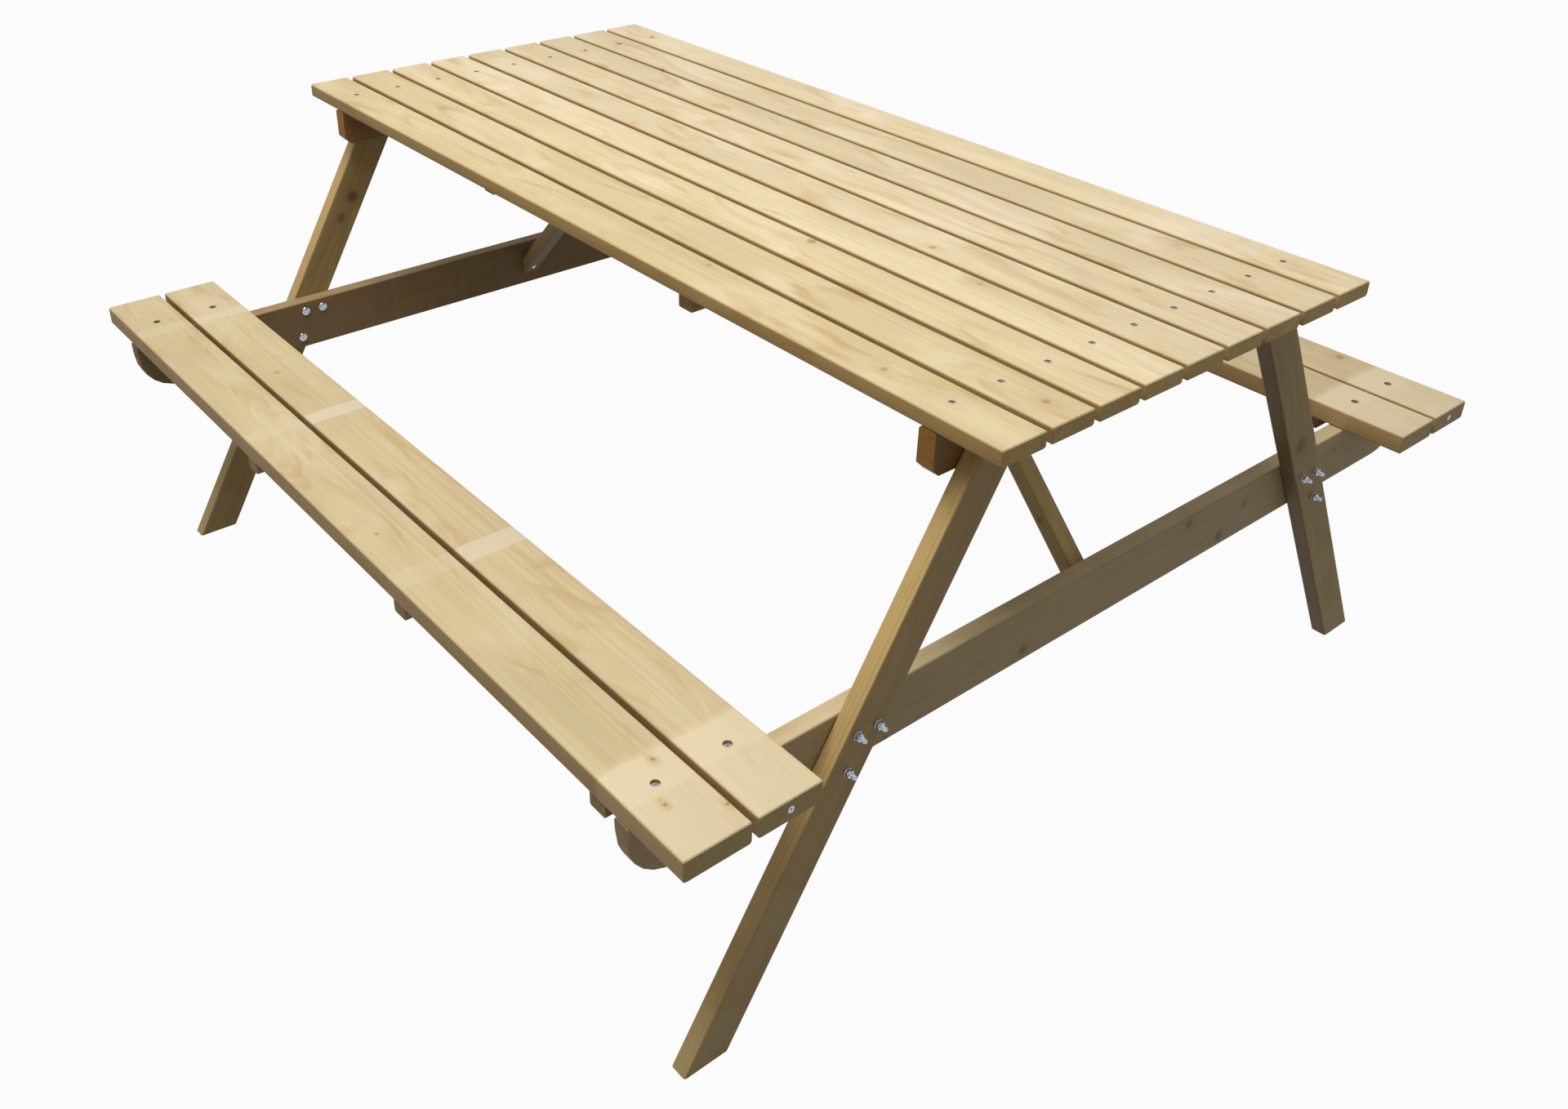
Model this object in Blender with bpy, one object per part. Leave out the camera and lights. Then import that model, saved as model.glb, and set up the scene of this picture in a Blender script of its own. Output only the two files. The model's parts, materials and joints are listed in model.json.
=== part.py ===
"""Picnic table: slatted top and two bench seats on two bolted A-frames, in metres, +Z up.

X runs along the slats, Y across the table, and the origin is on the ground under the middle of the top.
"""

import math

import bmesh
import bpy
from mathutils import Matrix, Vector

# Overall sizes
TABLE_LENGTH = 1.600
TOP_HEIGHT = 0.750
SEAT_HEIGHT = 0.438
OVERALL_WIDTH = 1.520

# Slats of the top and of the seats
TOP_SLAT_COUNT = 9
TOP_SLAT_WIDTH = 0.070
TOP_SLAT_GAP = 0.0085
TOP_SLAT_THICK = 0.022
SEAT_SLAT_WIDTH = 0.088
SEAT_SLAT_GAP = 0.0075
SEAT_SLAT_THICK = 0.030

# Frame timber: legs, seat bearers and end battens share one thickness
FRAME_THICK = 0.0255
FRAME_OVERHANG = 0.066
LEG_WIDTH = 0.057
LEG_HEAD_INSET = 0.066
FOOT_INSET = 0.050
BEARER_HEIGHT = 0.085
BEARER_END_RADIUS = 0.062
END_BATTEN_HEIGHT = 0.057
END_BATTEN_CHAMFER = 0.012

# Light battens under the top and the seats, and the diagonal braces
BATTEN_WIDTH = 0.029
BATTEN_DEPTH = 0.0235
MID_BATTEN_CLEARANCE = 0.041
MID_BATTEN_LENGTH = 0.656
MID_BATTEN_SHIFT = 0.010
SEAT_BATTEN_MID_X = 0.222
SEAT_BATTEN_END_CLEARANCE = 0.0125
SEAT_BATTEN_SHIFT = 0.010
SEAT_BATTEN_LENGTH = 0.164
SEAT_BATTEN_SETBACK = 0.0045
SEAT_BATTEN_LEFT_SETBACK = 0.0165
BRACE_WIDTH = 0.029
BRACE_DEPTH = 0.024
BRACE_ANGLE = math.radians(46.2)
BRACE_FOOT_DROP = 0.048

# Carriage bolts with washer and nut
BOLT_DIAMETER = 0.006
BOLT_HEAD_DIAMETER = 0.016
BOLT_HEAD_HEIGHT = 0.0036
BOLT_END_LENGTH = 0.015
WASHER_DIAMETER = 0.0125
WASHER_THICK = 0.0015
NUT_ACROSS_FLATS = 0.010
NUT_HEIGHT = 0.005
BOLT_PAIR_SPACING = 0.032
UPPER_BOLT_DROP = 0.0172
LOWER_BOLT_RISE = 0.0203

# Wood screws and the counterbores over the slat screws
SCREW_DIAMETER = 0.005
SCREW_HEAD_DIAMETER = 0.0095
SCREW_HEAD_HEIGHT = 0.0035
SCREW_GRIP = 0.014
SCREW_BITE = 0.014
END_SCREW_LENGTH = 0.040
END_SCREW_OFFSET = 0.000
TOP_COUNTERBORE = 0.0086
TOP_COUNTERBORE_DEPTH = 0.0024
SEAT_COUNTERBORE = 0.0115
SEAT_COUNTERBORE_DEPTH = 0.0042

# Fits and finish
CLEARANCE = 0.0003
DRILL_SPARE = 0.005
EDGE_EASE = 0.003
EASE_SEGMENTS = 2
ROUND_END_STEPS = 6
BOLT_SIDES = 12
HOLE_SIDES = 12

# Places that follow from the sizes above
TOP_WIDTH = TOP_SLAT_COUNT * TOP_SLAT_WIDTH + (TOP_SLAT_COUNT - 1) * TOP_SLAT_GAP
TOP_UNDERSIDE = TOP_HEIGHT - TOP_SLAT_THICK - CLEARANCE
SEAT_UNDERSIDE = SEAT_HEIGHT - SEAT_SLAT_THICK - CLEARANCE
SEAT_OUTER_Y = OVERALL_WIDTH / 2
SEAT_INNER_Y = SEAT_OUTER_Y - 2 * SEAT_SLAT_WIDTH - SEAT_SLAT_GAP
FOOT_OUTER_Y = SEAT_OUTER_Y - FOOT_INSET
HEAD_OUTER_Y = TOP_WIDTH / 2 - LEG_HEAD_INSET
LEG_LEAN = math.atan2(FOOT_OUTER_Y - HEAD_OUTER_Y, TOP_UNDERSIDE)
LEG_OUTER_X = TABLE_LENGTH / 2 - FRAME_OVERHANG
LEG_X = LEG_OUTER_X - FRAME_THICK / 2
CROSS_OUTER_X = LEG_OUTER_X - FRAME_THICK - CLEARANCE
CROSS_X = CROSS_OUTER_X - FRAME_THICK / 2
CROSS_INNER_X = CROSS_OUTER_X - FRAME_THICK
BEARER_BOTTOM = SEAT_UNDERSIDE - BEARER_HEIGHT
SEAT_BATTEN_END_X = CROSS_INNER_X - SEAT_BATTEN_END_CLEARANCE - BATTEN_WIDTH / 2
FRAME_GRIP = 2 * FRAME_THICK + CLEARANCE
BRACE_FOOT_Z = SEAT_UNDERSIDE - BRACE_FOOT_DROP

AXIS_X = Vector((1, 0, 0))
AXIS_Y = Vector((0, 1, 0))
AXIS_Z = Vector((0, 0, 1))


def clear_scene():
    for obj in list(bpy.data.objects):
        bpy.data.objects.remove(obj, do_unlink=True)


def material(name, colour, roughness, metallic=0.0):
    made = bpy.data.materials.new(name)
    made.use_nodes = True
    shader = made.node_tree.nodes["Principled BSDF"]
    shader.inputs["Base Color"].default_value = (*colour, 1.0)
    shader.inputs["Roughness"].default_value = roughness
    shader.inputs["Metallic"].default_value = metallic
    return made


def finish_mesh(bm, name):
    """A smooth-shaded mesh with sharp arrises from a closed bmesh."""
    bmesh.ops.recalc_face_normals(bm, faces=bm.faces)
    mesh = bpy.data.meshes.new(name)
    bm.to_mesh(mesh)
    bm.free()
    mesh.shade_smooth()
    mesh.set_sharp_from_angle(angle=math.radians(30))
    return mesh


def prism(name, outline, thickness, eased):
    """An outline of (y, z) points thickened evenly about x = 0, with its eased edges rounded over."""
    bm = bmesh.new()
    back = [bm.verts.new((-thickness / 2, y, z)) for y, z in outline]
    face = bm.faces.new(back)
    grown = bmesh.ops.extrude_face_region(bm, geom=[face])["geom"]
    moved = [item for item in grown if isinstance(item, bmesh.types.BMVert)]
    bmesh.ops.translate(bm, verts=moved, vec=AXIS_X * thickness)
    edges = [edge for edge in bm.edges if eased((edge.verts[1].co - edge.verts[0].co).normalized())]
    bmesh.ops.bevel(
        bm,
        geom=edges,
        offset=EDGE_EASE,
        segments=EASE_SEGMENTS,
        profile=0.5,
        affect="EDGES",
        clamp_overlap=True,
    )
    return finish_mesh(bm, name)


def along(direction):
    """A test for edges that run along a direction."""
    return lambda edge: abs(edge.dot(direction)) > 0.999


def rectangle(width, height):
    """A (y, z) outline centred on the origin."""
    y = width / 2
    z = height / 2
    return [(-y, -z), (y, -z), (y, z), (-y, z)]


def lathe(name, rings):
    """A closed turned body along X. Each ring is (x, radius, six_sided), and both ends are flat."""
    bm = bmesh.new()
    loops = []
    for x, radius, six_sided in rings:
        loop = []
        for step in range(BOLT_SIDES):
            angle = math.tau * step / BOLT_SIDES
            reach = radius / math.cos(math.pi / 6) if six_sided and step % 2 == 0 else radius
            loop.append(bm.verts.new((x, reach * math.cos(angle), reach * math.sin(angle))))
        loops.append(loop)
    for first, second in zip(loops, loops[1:]):
        for step in range(BOLT_SIDES):
            after = (step + 1) % BOLT_SIDES
            bm.faces.new((first[step], first[after], second[after], second[step]))
    bm.faces.new(loops[0])
    bm.faces.new(loops[-1])
    return finish_mesh(bm, name)


def drill(start, direction, length, diameter):
    """A drill body: (start, direction, length, diameter) of one straight round cut."""
    return (Vector(start), Vector(direction), length, diameter)


def through(y, z, diameter, thickness):
    """A drill right through a prism, along X."""
    return drill((-thickness / 2 - DRILL_SPARE, y, z), AXIS_X, thickness + 2 * DRILL_SPARE, diameter)


def cut(mesh, drills):
    """The mesh with every drill's cylinder removed."""
    if not drills:
        return mesh
    bm = bmesh.new()
    for start, direction, length, diameter in drills:
        turn = AXIS_Z.rotation_difference(direction).to_matrix().to_4x4()
        place = Matrix.Translation(start + direction * (length / 2)) @ turn
        bmesh.ops.create_cone(
            bm,
            cap_ends=True,
            segments=HOLE_SIDES,
            radius1=diameter / 2,
            radius2=diameter / 2,
            depth=length,
            matrix=place,
        )
    cutter = bpy.data.objects.new("cutter", finish_mesh(bm, "cutter"))
    blank = bpy.data.objects.new("blank", mesh)
    for helper in (cutter, blank):
        bpy.context.collection.objects.link(helper)
    boolean = blank.modifiers.new("holes", "BOOLEAN")
    boolean.operation = "DIFFERENCE"
    boolean.object = cutter
    boolean.use_self = True
    graph = bpy.context.evaluated_depsgraph_get()
    made = bpy.data.meshes.new_from_object(blank.evaluated_get(graph))
    made.name = mesh.name
    for helper in (cutter, blank):
        bpy.data.objects.remove(helper, do_unlink=True)
    made.shade_smooth()
    made.set_sharp_from_angle(angle=math.radians(30))
    return made


def place(name, mesh, finish, location, rotation=(0, 0, 0)):
    """One named piece, standing on the shared ground frame."""
    obj = bpy.data.objects.new(name, mesh)
    obj.data.materials.clear()
    obj.data.materials.append(finish)
    obj.location = location
    obj.rotation_euler = rotation
    obj.parent = bpy.data.objects["table_frame"]
    bpy.context.collection.objects.link(obj)
    return obj


def hole_of(diameter):
    """The bore that a round piece passes through."""
    return diameter + 2 * CLEARANCE


def leg_centre_y(height):
    """Where a leg's middle line stands, out from the table's middle, at a height."""
    half_cut = LEG_WIDTH / math.cos(LEG_LEAN) / 2
    return FOOT_OUTER_Y - half_cut - height * math.tan(LEG_LEAN)


def bearer_bolt_places():
    """(y, z) of the three bolts that hold a leg to a bearer, on the +Y side."""
    upper = SEAT_UNDERSIDE - UPPER_BOLT_DROP
    lower = BEARER_BOTTOM + LOWER_BOLT_RISE
    half = BOLT_PAIR_SPACING / 2
    middle = leg_centre_y(upper)
    return [(middle - half, upper), (middle + half, upper), (leg_centre_y(lower), lower)]


def top_bolt_places():
    """(y, z) of the two bolts that hold a leg to an end batten, on the +Y side."""
    height = TOP_UNDERSIDE - END_BATTEN_HEIGHT / 2
    half = BOLT_PAIR_SPACING / 2
    middle = leg_centre_y(height)
    return [(middle - half, height), (middle + half, height)]


def brace_line():
    """(x, z) of the brace's middle line at the bearer and at the top, on the +X side."""
    rise = TOP_UNDERSIDE - CLEARANCE - BRACE_FOOT_Z
    foot = (CROSS_INNER_X - CLEARANCE, BRACE_FOOT_Z)
    head = (foot[0] - rise / math.tan(BRACE_ANGLE), BRACE_FOOT_Z + rise)
    return foot, head


def slat_counterbores(thickness, diameter, depth):
    """The two screw pockets in a slat's top face, over the end cross pieces, for a slat along Y."""
    start = thickness / 2 + DRILL_SPARE
    return [drill((0, side * CROSS_X, start), -AXIS_Z, depth + DRILL_SPARE, diameter) for side in (-1, 1)]


def slat_mesh(name, width, thickness, pockets, more_drills=()):
    """A slat made along Y, with eased long edges and sawn ends."""
    outline = rectangle(TABLE_LENGTH, thickness)
    blank = prism(name, outline, width, along(AXIS_Y))
    return cut(blank, pockets + list(more_drills))


QUARTER_TURN = (0, 0, -math.pi / 2)
HALF_TURN = (0, 0, math.pi)


def make_top_slats(finish):
    """The slats of the top. The middle one takes the screws of both braces."""
    _, head = brace_line()
    bite = SCREW_BITE + CLEARANCE
    start = -TOP_SLAT_THICK / 2 - DRILL_SPARE
    bore = hole_of(SCREW_DIAMETER)
    brace_drills = [drill((0, side * head[0], start), AXIS_Z, bite + DRILL_SPARE, bore) for side in (-1, 1)]
    pockets = slat_counterbores(TOP_SLAT_THICK, TOP_COUNTERBORE, TOP_COUNTERBORE_DEPTH)
    plain = slat_mesh("top_slat", TOP_SLAT_WIDTH, TOP_SLAT_THICK, pockets)
    middle = slat_mesh("top_slat_middle", TOP_SLAT_WIDTH, TOP_SLAT_THICK, pockets, brace_drills)
    pitch = TOP_SLAT_WIDTH + TOP_SLAT_GAP
    for index in range(TOP_SLAT_COUNT):
        y = (index - (TOP_SLAT_COUNT - 1) / 2) * pitch
        holds_braces = abs(y) < pitch / 4
        mesh = middle if holds_braces else plain
        place(f"top_slat_{index + 1}", mesh, finish, (0, y, TOP_HEIGHT - TOP_SLAT_THICK / 2), QUARTER_TURN)


def end_screw_length():
    return END_SCREW_LENGTH + SCREW_HEAD_HEIGHT


def make_seat_slats(finish):
    """Two slats to each seat. Two of the four carry a screw in the end grain at +X."""
    deep = end_screw_length() + CLEARANCE
    head_deep = SCREW_HEAD_HEIGHT + 2 * CLEARANCE
    start = (END_SCREW_OFFSET, TABLE_LENGTH / 2 + DRILL_SPARE, 0)
    end_drills = [
        drill(start, -AXIS_Y, deep + DRILL_SPARE, hole_of(SCREW_DIAMETER)),
        drill(start, -AXIS_Y, head_deep + DRILL_SPARE, hole_of(SCREW_HEAD_DIAMETER)),
    ]
    pockets = slat_counterbores(SEAT_SLAT_THICK, SEAT_COUNTERBORE, SEAT_COUNTERBORE_DEPTH)
    plain = slat_mesh("seat_slat", SEAT_SLAT_WIDTH, SEAT_SLAT_THICK, pockets)
    screwed = slat_mesh("seat_slat_end_screw", SEAT_SLAT_WIDTH, SEAT_SLAT_THICK, pockets, end_drills)
    z = SEAT_HEIGHT - SEAT_SLAT_THICK / 2
    inner = SEAT_INNER_Y + SEAT_SLAT_WIDTH / 2
    outer = SEAT_OUTER_Y - SEAT_SLAT_WIDTH / 2
    place("seat_slat_front_outer", plain, finish, (0, -outer, z), QUARTER_TURN)
    place("seat_slat_front_inner", screwed, finish, (0, -inner, z), QUARTER_TURN)
    place("seat_slat_rear_inner", plain, finish, (0, inner, z), QUARTER_TURN)
    place("seat_slat_rear_outer", screwed, finish, (0, outer, z), QUARTER_TURN)


def make_end_screws(finish):
    """The two screws in the end grain of the seat slats."""
    mesh = screw_mesh("end_screw", END_SCREW_LENGTH)
    head = TABLE_LENGTH / 2 - CLEARANCE
    z = SEAT_HEIGHT - SEAT_SLAT_THICK / 2
    inner = -SEAT_INNER_Y - SEAT_SLAT_WIDTH / 2 + END_SCREW_OFFSET
    outer = SEAT_OUTER_Y - SEAT_SLAT_WIDTH / 2 + END_SCREW_OFFSET
    place("end_screw_front", mesh, finish, (head, inner, z), HALF_TURN)
    place("end_screw_rear", mesh, finish, (head, outer, z), HALF_TURN)


def screw_mesh(name, shank):
    """A countersunk wood screw, its head's face at x = 0 and its point at +X."""
    tip = SCREW_HEAD_HEIGHT + shank
    thin = SCREW_DIAMETER / 2
    rings = [
        (0, SCREW_HEAD_DIAMETER / 2, False),
        (SCREW_HEAD_HEIGHT * 0.25, SCREW_HEAD_DIAMETER / 2, False),
        (SCREW_HEAD_HEIGHT, thin, False),
        (tip - thin * 2, thin, False),
        (tip, thin * 0.2, False),
    ]
    return lathe(name, rings)


def bolt_mesh(name):
    """A carriage bolt with its washer and nut run up. x = 0 is the face under the domed head."""
    shank = BOLT_DIAMETER / 2
    outside = FRAME_GRIP + 2 * CLEARANCE
    washer_top = outside + WASHER_THICK
    nut_top = washer_top + NUT_HEIGHT
    end = outside + BOLT_END_LENGTH
    rings = [
        (-BOLT_HEAD_HEIGHT, BOLT_HEAD_DIAMETER * 0.16, False),
        (-BOLT_HEAD_HEIGHT * 0.72, BOLT_HEAD_DIAMETER * 0.36, False),
        (-BOLT_HEAD_HEIGHT * 0.25, BOLT_HEAD_DIAMETER * 0.48, False),
        (0, BOLT_HEAD_DIAMETER * 0.5, False),
        (0, shank, False),
        (outside, shank, False),
        (outside, WASHER_DIAMETER / 2, False),
        (washer_top, WASHER_DIAMETER / 2, False),
        (washer_top, NUT_ACROSS_FLATS / 2, True),
        (nut_top, NUT_ACROSS_FLATS / 2, True),
        (nut_top, shank, False),
        (end - BOLT_DIAMETER / 6, shank, False),
        (end, shank * 0.75, False),
    ]
    return lathe(name, rings)


def make_legs(finish):
    """Four leaning legs on the outside of the cross pieces, sawn level at foot and head."""
    head = TOP_UNDERSIDE
    half_cut = LEG_WIDTH / math.cos(LEG_LEAN) / 2
    foot_y = leg_centre_y(0)
    head_y = leg_centre_y(head)
    outline = [
        (foot_y - half_cut, 0),
        (foot_y + half_cut, 0),
        (head_y + half_cut, head),
        (head_y - half_cut, head),
    ]
    lean = Vector((0, head_y - foot_y, head)).normalized()
    bore = hole_of(BOLT_DIAMETER)
    drills = [through(y, z, bore, FRAME_THICK) for y, z in bearer_bolt_places() + top_bolt_places()]
    mesh = cut(prism("leg", outline, FRAME_THICK, along(lean)), drills)
    for end, side_x in (("left", -1), ("right", 1)):
        place(f"leg_front_{end}", mesh, finish, (side_x * LEG_X, 0, 0), HALF_TURN)
        place(f"leg_rear_{end}", mesh, finish, (side_x * LEG_X, 0, 0))


def bearer_outline():
    """A board with both lower corners rounded, drawn round from the upper left corner."""
    half = SEAT_OUTER_Y
    top = SEAT_UNDERSIDE
    radius = BEARER_END_RADIUS
    points = [(half, top), (-half, top)]
    for side, start in ((-1, math.pi), (1, 1.5 * math.pi)):
        for step in range(ROUND_END_STEPS + 1):
            angle = start + math.pi / 2 * step / ROUND_END_STEPS
            y = side * (half - radius) + radius * math.cos(angle)
            z = BEARER_BOTTOM + radius + radius * math.sin(angle)
            points.append((y, z))
    return points


def make_bearers(finish):
    """The two deep boards that tie each pair of legs and carry the seats."""
    bore = hole_of(BOLT_DIAMETER)
    drills = [through(side * y, z, bore, FRAME_THICK) for side in (-1, 1) for y, z in bearer_bolt_places()]
    bite = SCREW_BITE + CLEARANCE
    start = (-FRAME_THICK / 2 - DRILL_SPARE, 0, BRACE_FOOT_Z)
    drills.append(drill(start, AXIS_X, bite + DRILL_SPARE, hole_of(SCREW_DIAMETER)))
    upright = along(AXIS_Z)
    across = along(AXIS_X)
    eased = lambda edge: not upright(edge) and not across(edge)
    mesh = cut(prism("seat_bearer", bearer_outline(), FRAME_THICK, eased), drills)
    place("seat_bearer_right", mesh, finish, (CROSS_X, 0, 0))
    place("seat_bearer_left", mesh, finish, (-CROSS_X, 0, 0), HALF_TURN)


def make_end_battens(finish):
    """The cross pieces under each end of the top, between the legs' upper ends."""
    half = TOP_WIDTH / 2
    top = TOP_UNDERSIDE
    bottom = top - END_BATTEN_HEIGHT
    corner = END_BATTEN_CHAMFER
    outline = [
        (half, top),
        (-half, top),
        (-half, bottom + corner),
        (-half + corner, bottom),
        (half - corner, bottom),
        (half, bottom + corner),
    ]
    bore = hole_of(BOLT_DIAMETER)
    drills = [through(side * y, z, bore, FRAME_THICK) for side in (-1, 1) for y, z in top_bolt_places()]
    mesh = cut(prism("top_batten_end", outline, FRAME_THICK, along(AXIS_Y)), drills)
    place("top_batten_end_right", mesh, finish, (CROSS_X, 0, 0))
    place("top_batten_end_left", mesh, finish, (-CROSS_X, 0, 0))


def make_mid_battens(finish):
    """Two light battens that keep the top slats level between the frames."""
    outline = rectangle(MID_BATTEN_LENGTH, BATTEN_DEPTH)
    mesh = prism("top_batten_mid", outline, BATTEN_WIDTH, along(AXIS_Y))
    _, head = brace_line()
    brace_edge = head[0] - BRACE_DEPTH / math.sin(BRACE_ANGLE) / 2
    x = brace_edge - MID_BATTEN_CLEARANCE - BATTEN_WIDTH / 2
    z = TOP_UNDERSIDE - BATTEN_DEPTH / 2
    place("top_batten_mid_right", mesh, finish, (x, -MID_BATTEN_SHIFT, z))
    place("top_batten_mid_left", mesh, finish, (-x, MID_BATTEN_SHIFT, z))


def make_seat_battens(finish):
    """Four light battens under each seat, which tie its two slats together."""
    outline = rectangle(SEAT_BATTEN_LENGTH, BATTEN_DEPTH)
    mesh = prism("seat_batten", outline, BATTEN_WIDTH, along(AXIS_Y))
    z = SEAT_UNDERSIDE - BATTEN_DEPTH / 2
    places = (
        ("left_end", -SEAT_BATTEN_END_X, SEAT_BATTEN_LEFT_SETBACK),
        ("left_mid", -SEAT_BATTEN_MID_X - SEAT_BATTEN_SHIFT, SEAT_BATTEN_SETBACK),
        ("right_mid", SEAT_BATTEN_MID_X - SEAT_BATTEN_SHIFT, SEAT_BATTEN_SETBACK),
        ("right_end", SEAT_BATTEN_END_X - SEAT_BATTEN_SHIFT, SEAT_BATTEN_SETBACK),
    )
    for where, x, setback in places:
        y = SEAT_OUTER_Y - setback - SEAT_BATTEN_LENGTH / 2
        place(f"seat_batten_front_{where}", mesh, finish, (x, -y, z))
        place(f"seat_batten_rear_{where}", mesh, finish, (x, y, z))


def make_braces(wood, metal):
    """A diagonal strut from each bearer up to the middle slat, with a screw at each end."""
    foot, head = brace_line()
    half_upright = BRACE_DEPTH / math.cos(BRACE_ANGLE) / 2
    half_level = BRACE_DEPTH / math.sin(BRACE_ANGLE) / 2
    lower_x = foot[0]
    # Drawn in (y, z) with y standing for -x, then turned a quarter about Z.
    outline = [
        (-lower_x, foot[1] - half_upright),
        (-lower_x, foot[1] + half_upright),
        (-head[0] - half_level, head[1]),
        (-head[0] + half_level, head[1]),
    ]
    slope = Vector((0, math.cos(BRACE_ANGLE), math.sin(BRACE_ANGLE)))
    pocket = hole_of(SCREW_HEAD_DIAMETER)
    shank = hole_of(SCREW_DIAMETER)
    reach = BRACE_DEPTH * 3
    under_head = SCREW_GRIP - SCREW_HEAD_HEIGHT - CLEARANCE
    foot_seat = -lower_x + under_head
    head_seat = head[1] - under_head
    drills = [
        drill((0, foot_seat + reach, foot[1]), -AXIS_Y, reach, pocket),
        drill((0, foot_seat + reach, foot[1]), -AXIS_Y, reach + 2 * SCREW_GRIP, shank),
        drill((0, -head[0], head_seat - reach), AXIS_Z, reach, pocket),
        drill((0, -head[0], head_seat - reach), AXIS_Z, reach + 2 * SCREW_GRIP, shank),
    ]
    mesh = cut(prism("brace", outline, BRACE_WIDTH, along(slope)), drills)
    place("brace_right", mesh, wood, (0, 0, 0), (0, 0, math.pi / 2))
    place("brace_left", mesh, wood, (0, 0, 0), QUARTER_TURN)
    screw = screw_mesh("brace_screw", SCREW_GRIP + SCREW_BITE - SCREW_HEAD_HEIGHT)
    seated = foot[0] - SCREW_GRIP
    lifted = head[1] - SCREW_GRIP
    place("brace_screw_foot_right", screw, metal, (seated, 0, foot[1]))
    place("brace_screw_foot_left", screw, metal, (-seated, 0, foot[1]), HALF_TURN)
    place("brace_screw_head_right", screw, metal, (head[0], 0, lifted), (0, -math.pi / 2, 0))
    place("brace_screw_head_left", screw, metal, (-head[0], 0, lifted), (0, -math.pi / 2, 0))


def make_bolts(finish):
    """Carriage bolts through each leg and the cross piece inside it, head inward and nut outward."""
    mesh = bolt_mesh("carriage_bolt")
    under_head = CROSS_INNER_X - CLEARANCE
    for joint, places in (("bearer", bearer_bolt_places()), ("top", top_bolt_places())):
        for index, (y, z) in enumerate(places):
            for side, side_y in (("front", -1), ("rear", 1)):
                name = f"{joint}_bolt_{side}_{{}}_{index + 1}"
                place(name.format("right"), mesh, finish, (under_head, side_y * y, z))
                place(name.format("left"), mesh, finish, (-under_head, side_y * y, z), HALF_TURN)


def main():
    clear_scene()
    frame = bpy.data.objects.new("table_frame", None)
    bpy.context.collection.objects.link(frame)
    top_wood = material("planed_pine_top", (0.72, 0.58, 0.33), 0.62)
    seat_wood = material("planed_pine_seat", (0.70, 0.56, 0.33), 0.62)
    frame_wood = material("treated_pine_frame", (0.36, 0.26, 0.13), 0.68)
    batten_wood = material("treated_pine_batten", (0.30, 0.21, 0.10), 0.70)
    zinc = material("zinc_plate", (0.72, 0.74, 0.78), 0.30, 1.0)
    make_top_slats(top_wood)
    make_seat_slats(seat_wood)
    make_legs(frame_wood)
    make_bearers(frame_wood)
    make_end_battens(frame_wood)
    make_mid_battens(batten_wood)
    make_seat_battens(batten_wood)
    make_braces(batten_wood, zinc)
    make_bolts(zinc)
    make_end_screws(zinc)


main()
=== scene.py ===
"""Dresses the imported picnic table: planed pine slats, treated pine frame and bright zinc fasteners."""

import json
import math
import random

import bmesh
import bpy
from mathutils import Matrix, Vector

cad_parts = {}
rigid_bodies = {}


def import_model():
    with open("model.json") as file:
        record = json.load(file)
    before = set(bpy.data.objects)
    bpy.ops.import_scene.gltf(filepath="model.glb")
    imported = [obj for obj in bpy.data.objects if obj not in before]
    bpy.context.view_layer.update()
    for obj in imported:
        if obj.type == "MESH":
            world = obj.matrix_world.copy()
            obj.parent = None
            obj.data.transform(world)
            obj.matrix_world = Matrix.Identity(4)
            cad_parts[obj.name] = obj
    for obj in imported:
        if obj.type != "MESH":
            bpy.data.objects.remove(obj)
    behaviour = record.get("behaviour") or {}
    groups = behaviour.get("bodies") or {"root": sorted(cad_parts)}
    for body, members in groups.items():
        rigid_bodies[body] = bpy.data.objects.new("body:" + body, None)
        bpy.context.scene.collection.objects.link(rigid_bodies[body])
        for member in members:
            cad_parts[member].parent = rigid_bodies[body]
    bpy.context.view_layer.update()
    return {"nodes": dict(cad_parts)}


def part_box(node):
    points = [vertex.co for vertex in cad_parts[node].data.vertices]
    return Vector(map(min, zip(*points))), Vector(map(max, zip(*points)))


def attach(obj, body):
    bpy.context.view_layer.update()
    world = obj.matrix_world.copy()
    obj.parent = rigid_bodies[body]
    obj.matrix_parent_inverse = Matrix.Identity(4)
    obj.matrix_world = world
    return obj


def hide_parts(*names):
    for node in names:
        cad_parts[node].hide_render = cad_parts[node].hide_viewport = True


bl_info = {
    "name": "Picnic Table Dressing",
    "version": (1, 0, 0),
    "blender": (4, 5, 0),
    "location": "3D View > Sidebar > Picnic Table",
    "description": "Slats, frame timber, fasteners and stage of a timber picnic table",
    "category": "Object",
}

for leftover in list(bpy.data.objects):
    bpy.data.objects.remove(leftover, do_unlink=True)
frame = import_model()
NODES = frame["nodes"]

TOP_SLATS = sorted(name for name in NODES if name.startswith("top_slat_"))
FRONT_SLATS = ["seat_slat_front_outer", "seat_slat_front_inner"]
REAR_SLATS = ["seat_slat_rear_inner", "seat_slat_rear_outer"]
BOLTS = sorted(name for name in NODES if "_bolt_" in name)
BRACE_SCREWS = sorted(name for name in NODES if name.startswith("brace_screw_"))
END_SCREWS = sorted(name for name in NODES if name.startswith("end_screw_"))

# First number of each lot of boards, from which a board draws its own grain
TOP_BOARDS = 0
FRONT_BOARDS = 20
REAR_BOARDS = 30
FRAME_BOARDS = 40
INNER_SEAT_BOARDS = (FRONT_BOARDS + 1, REAR_BOARDS)

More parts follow.
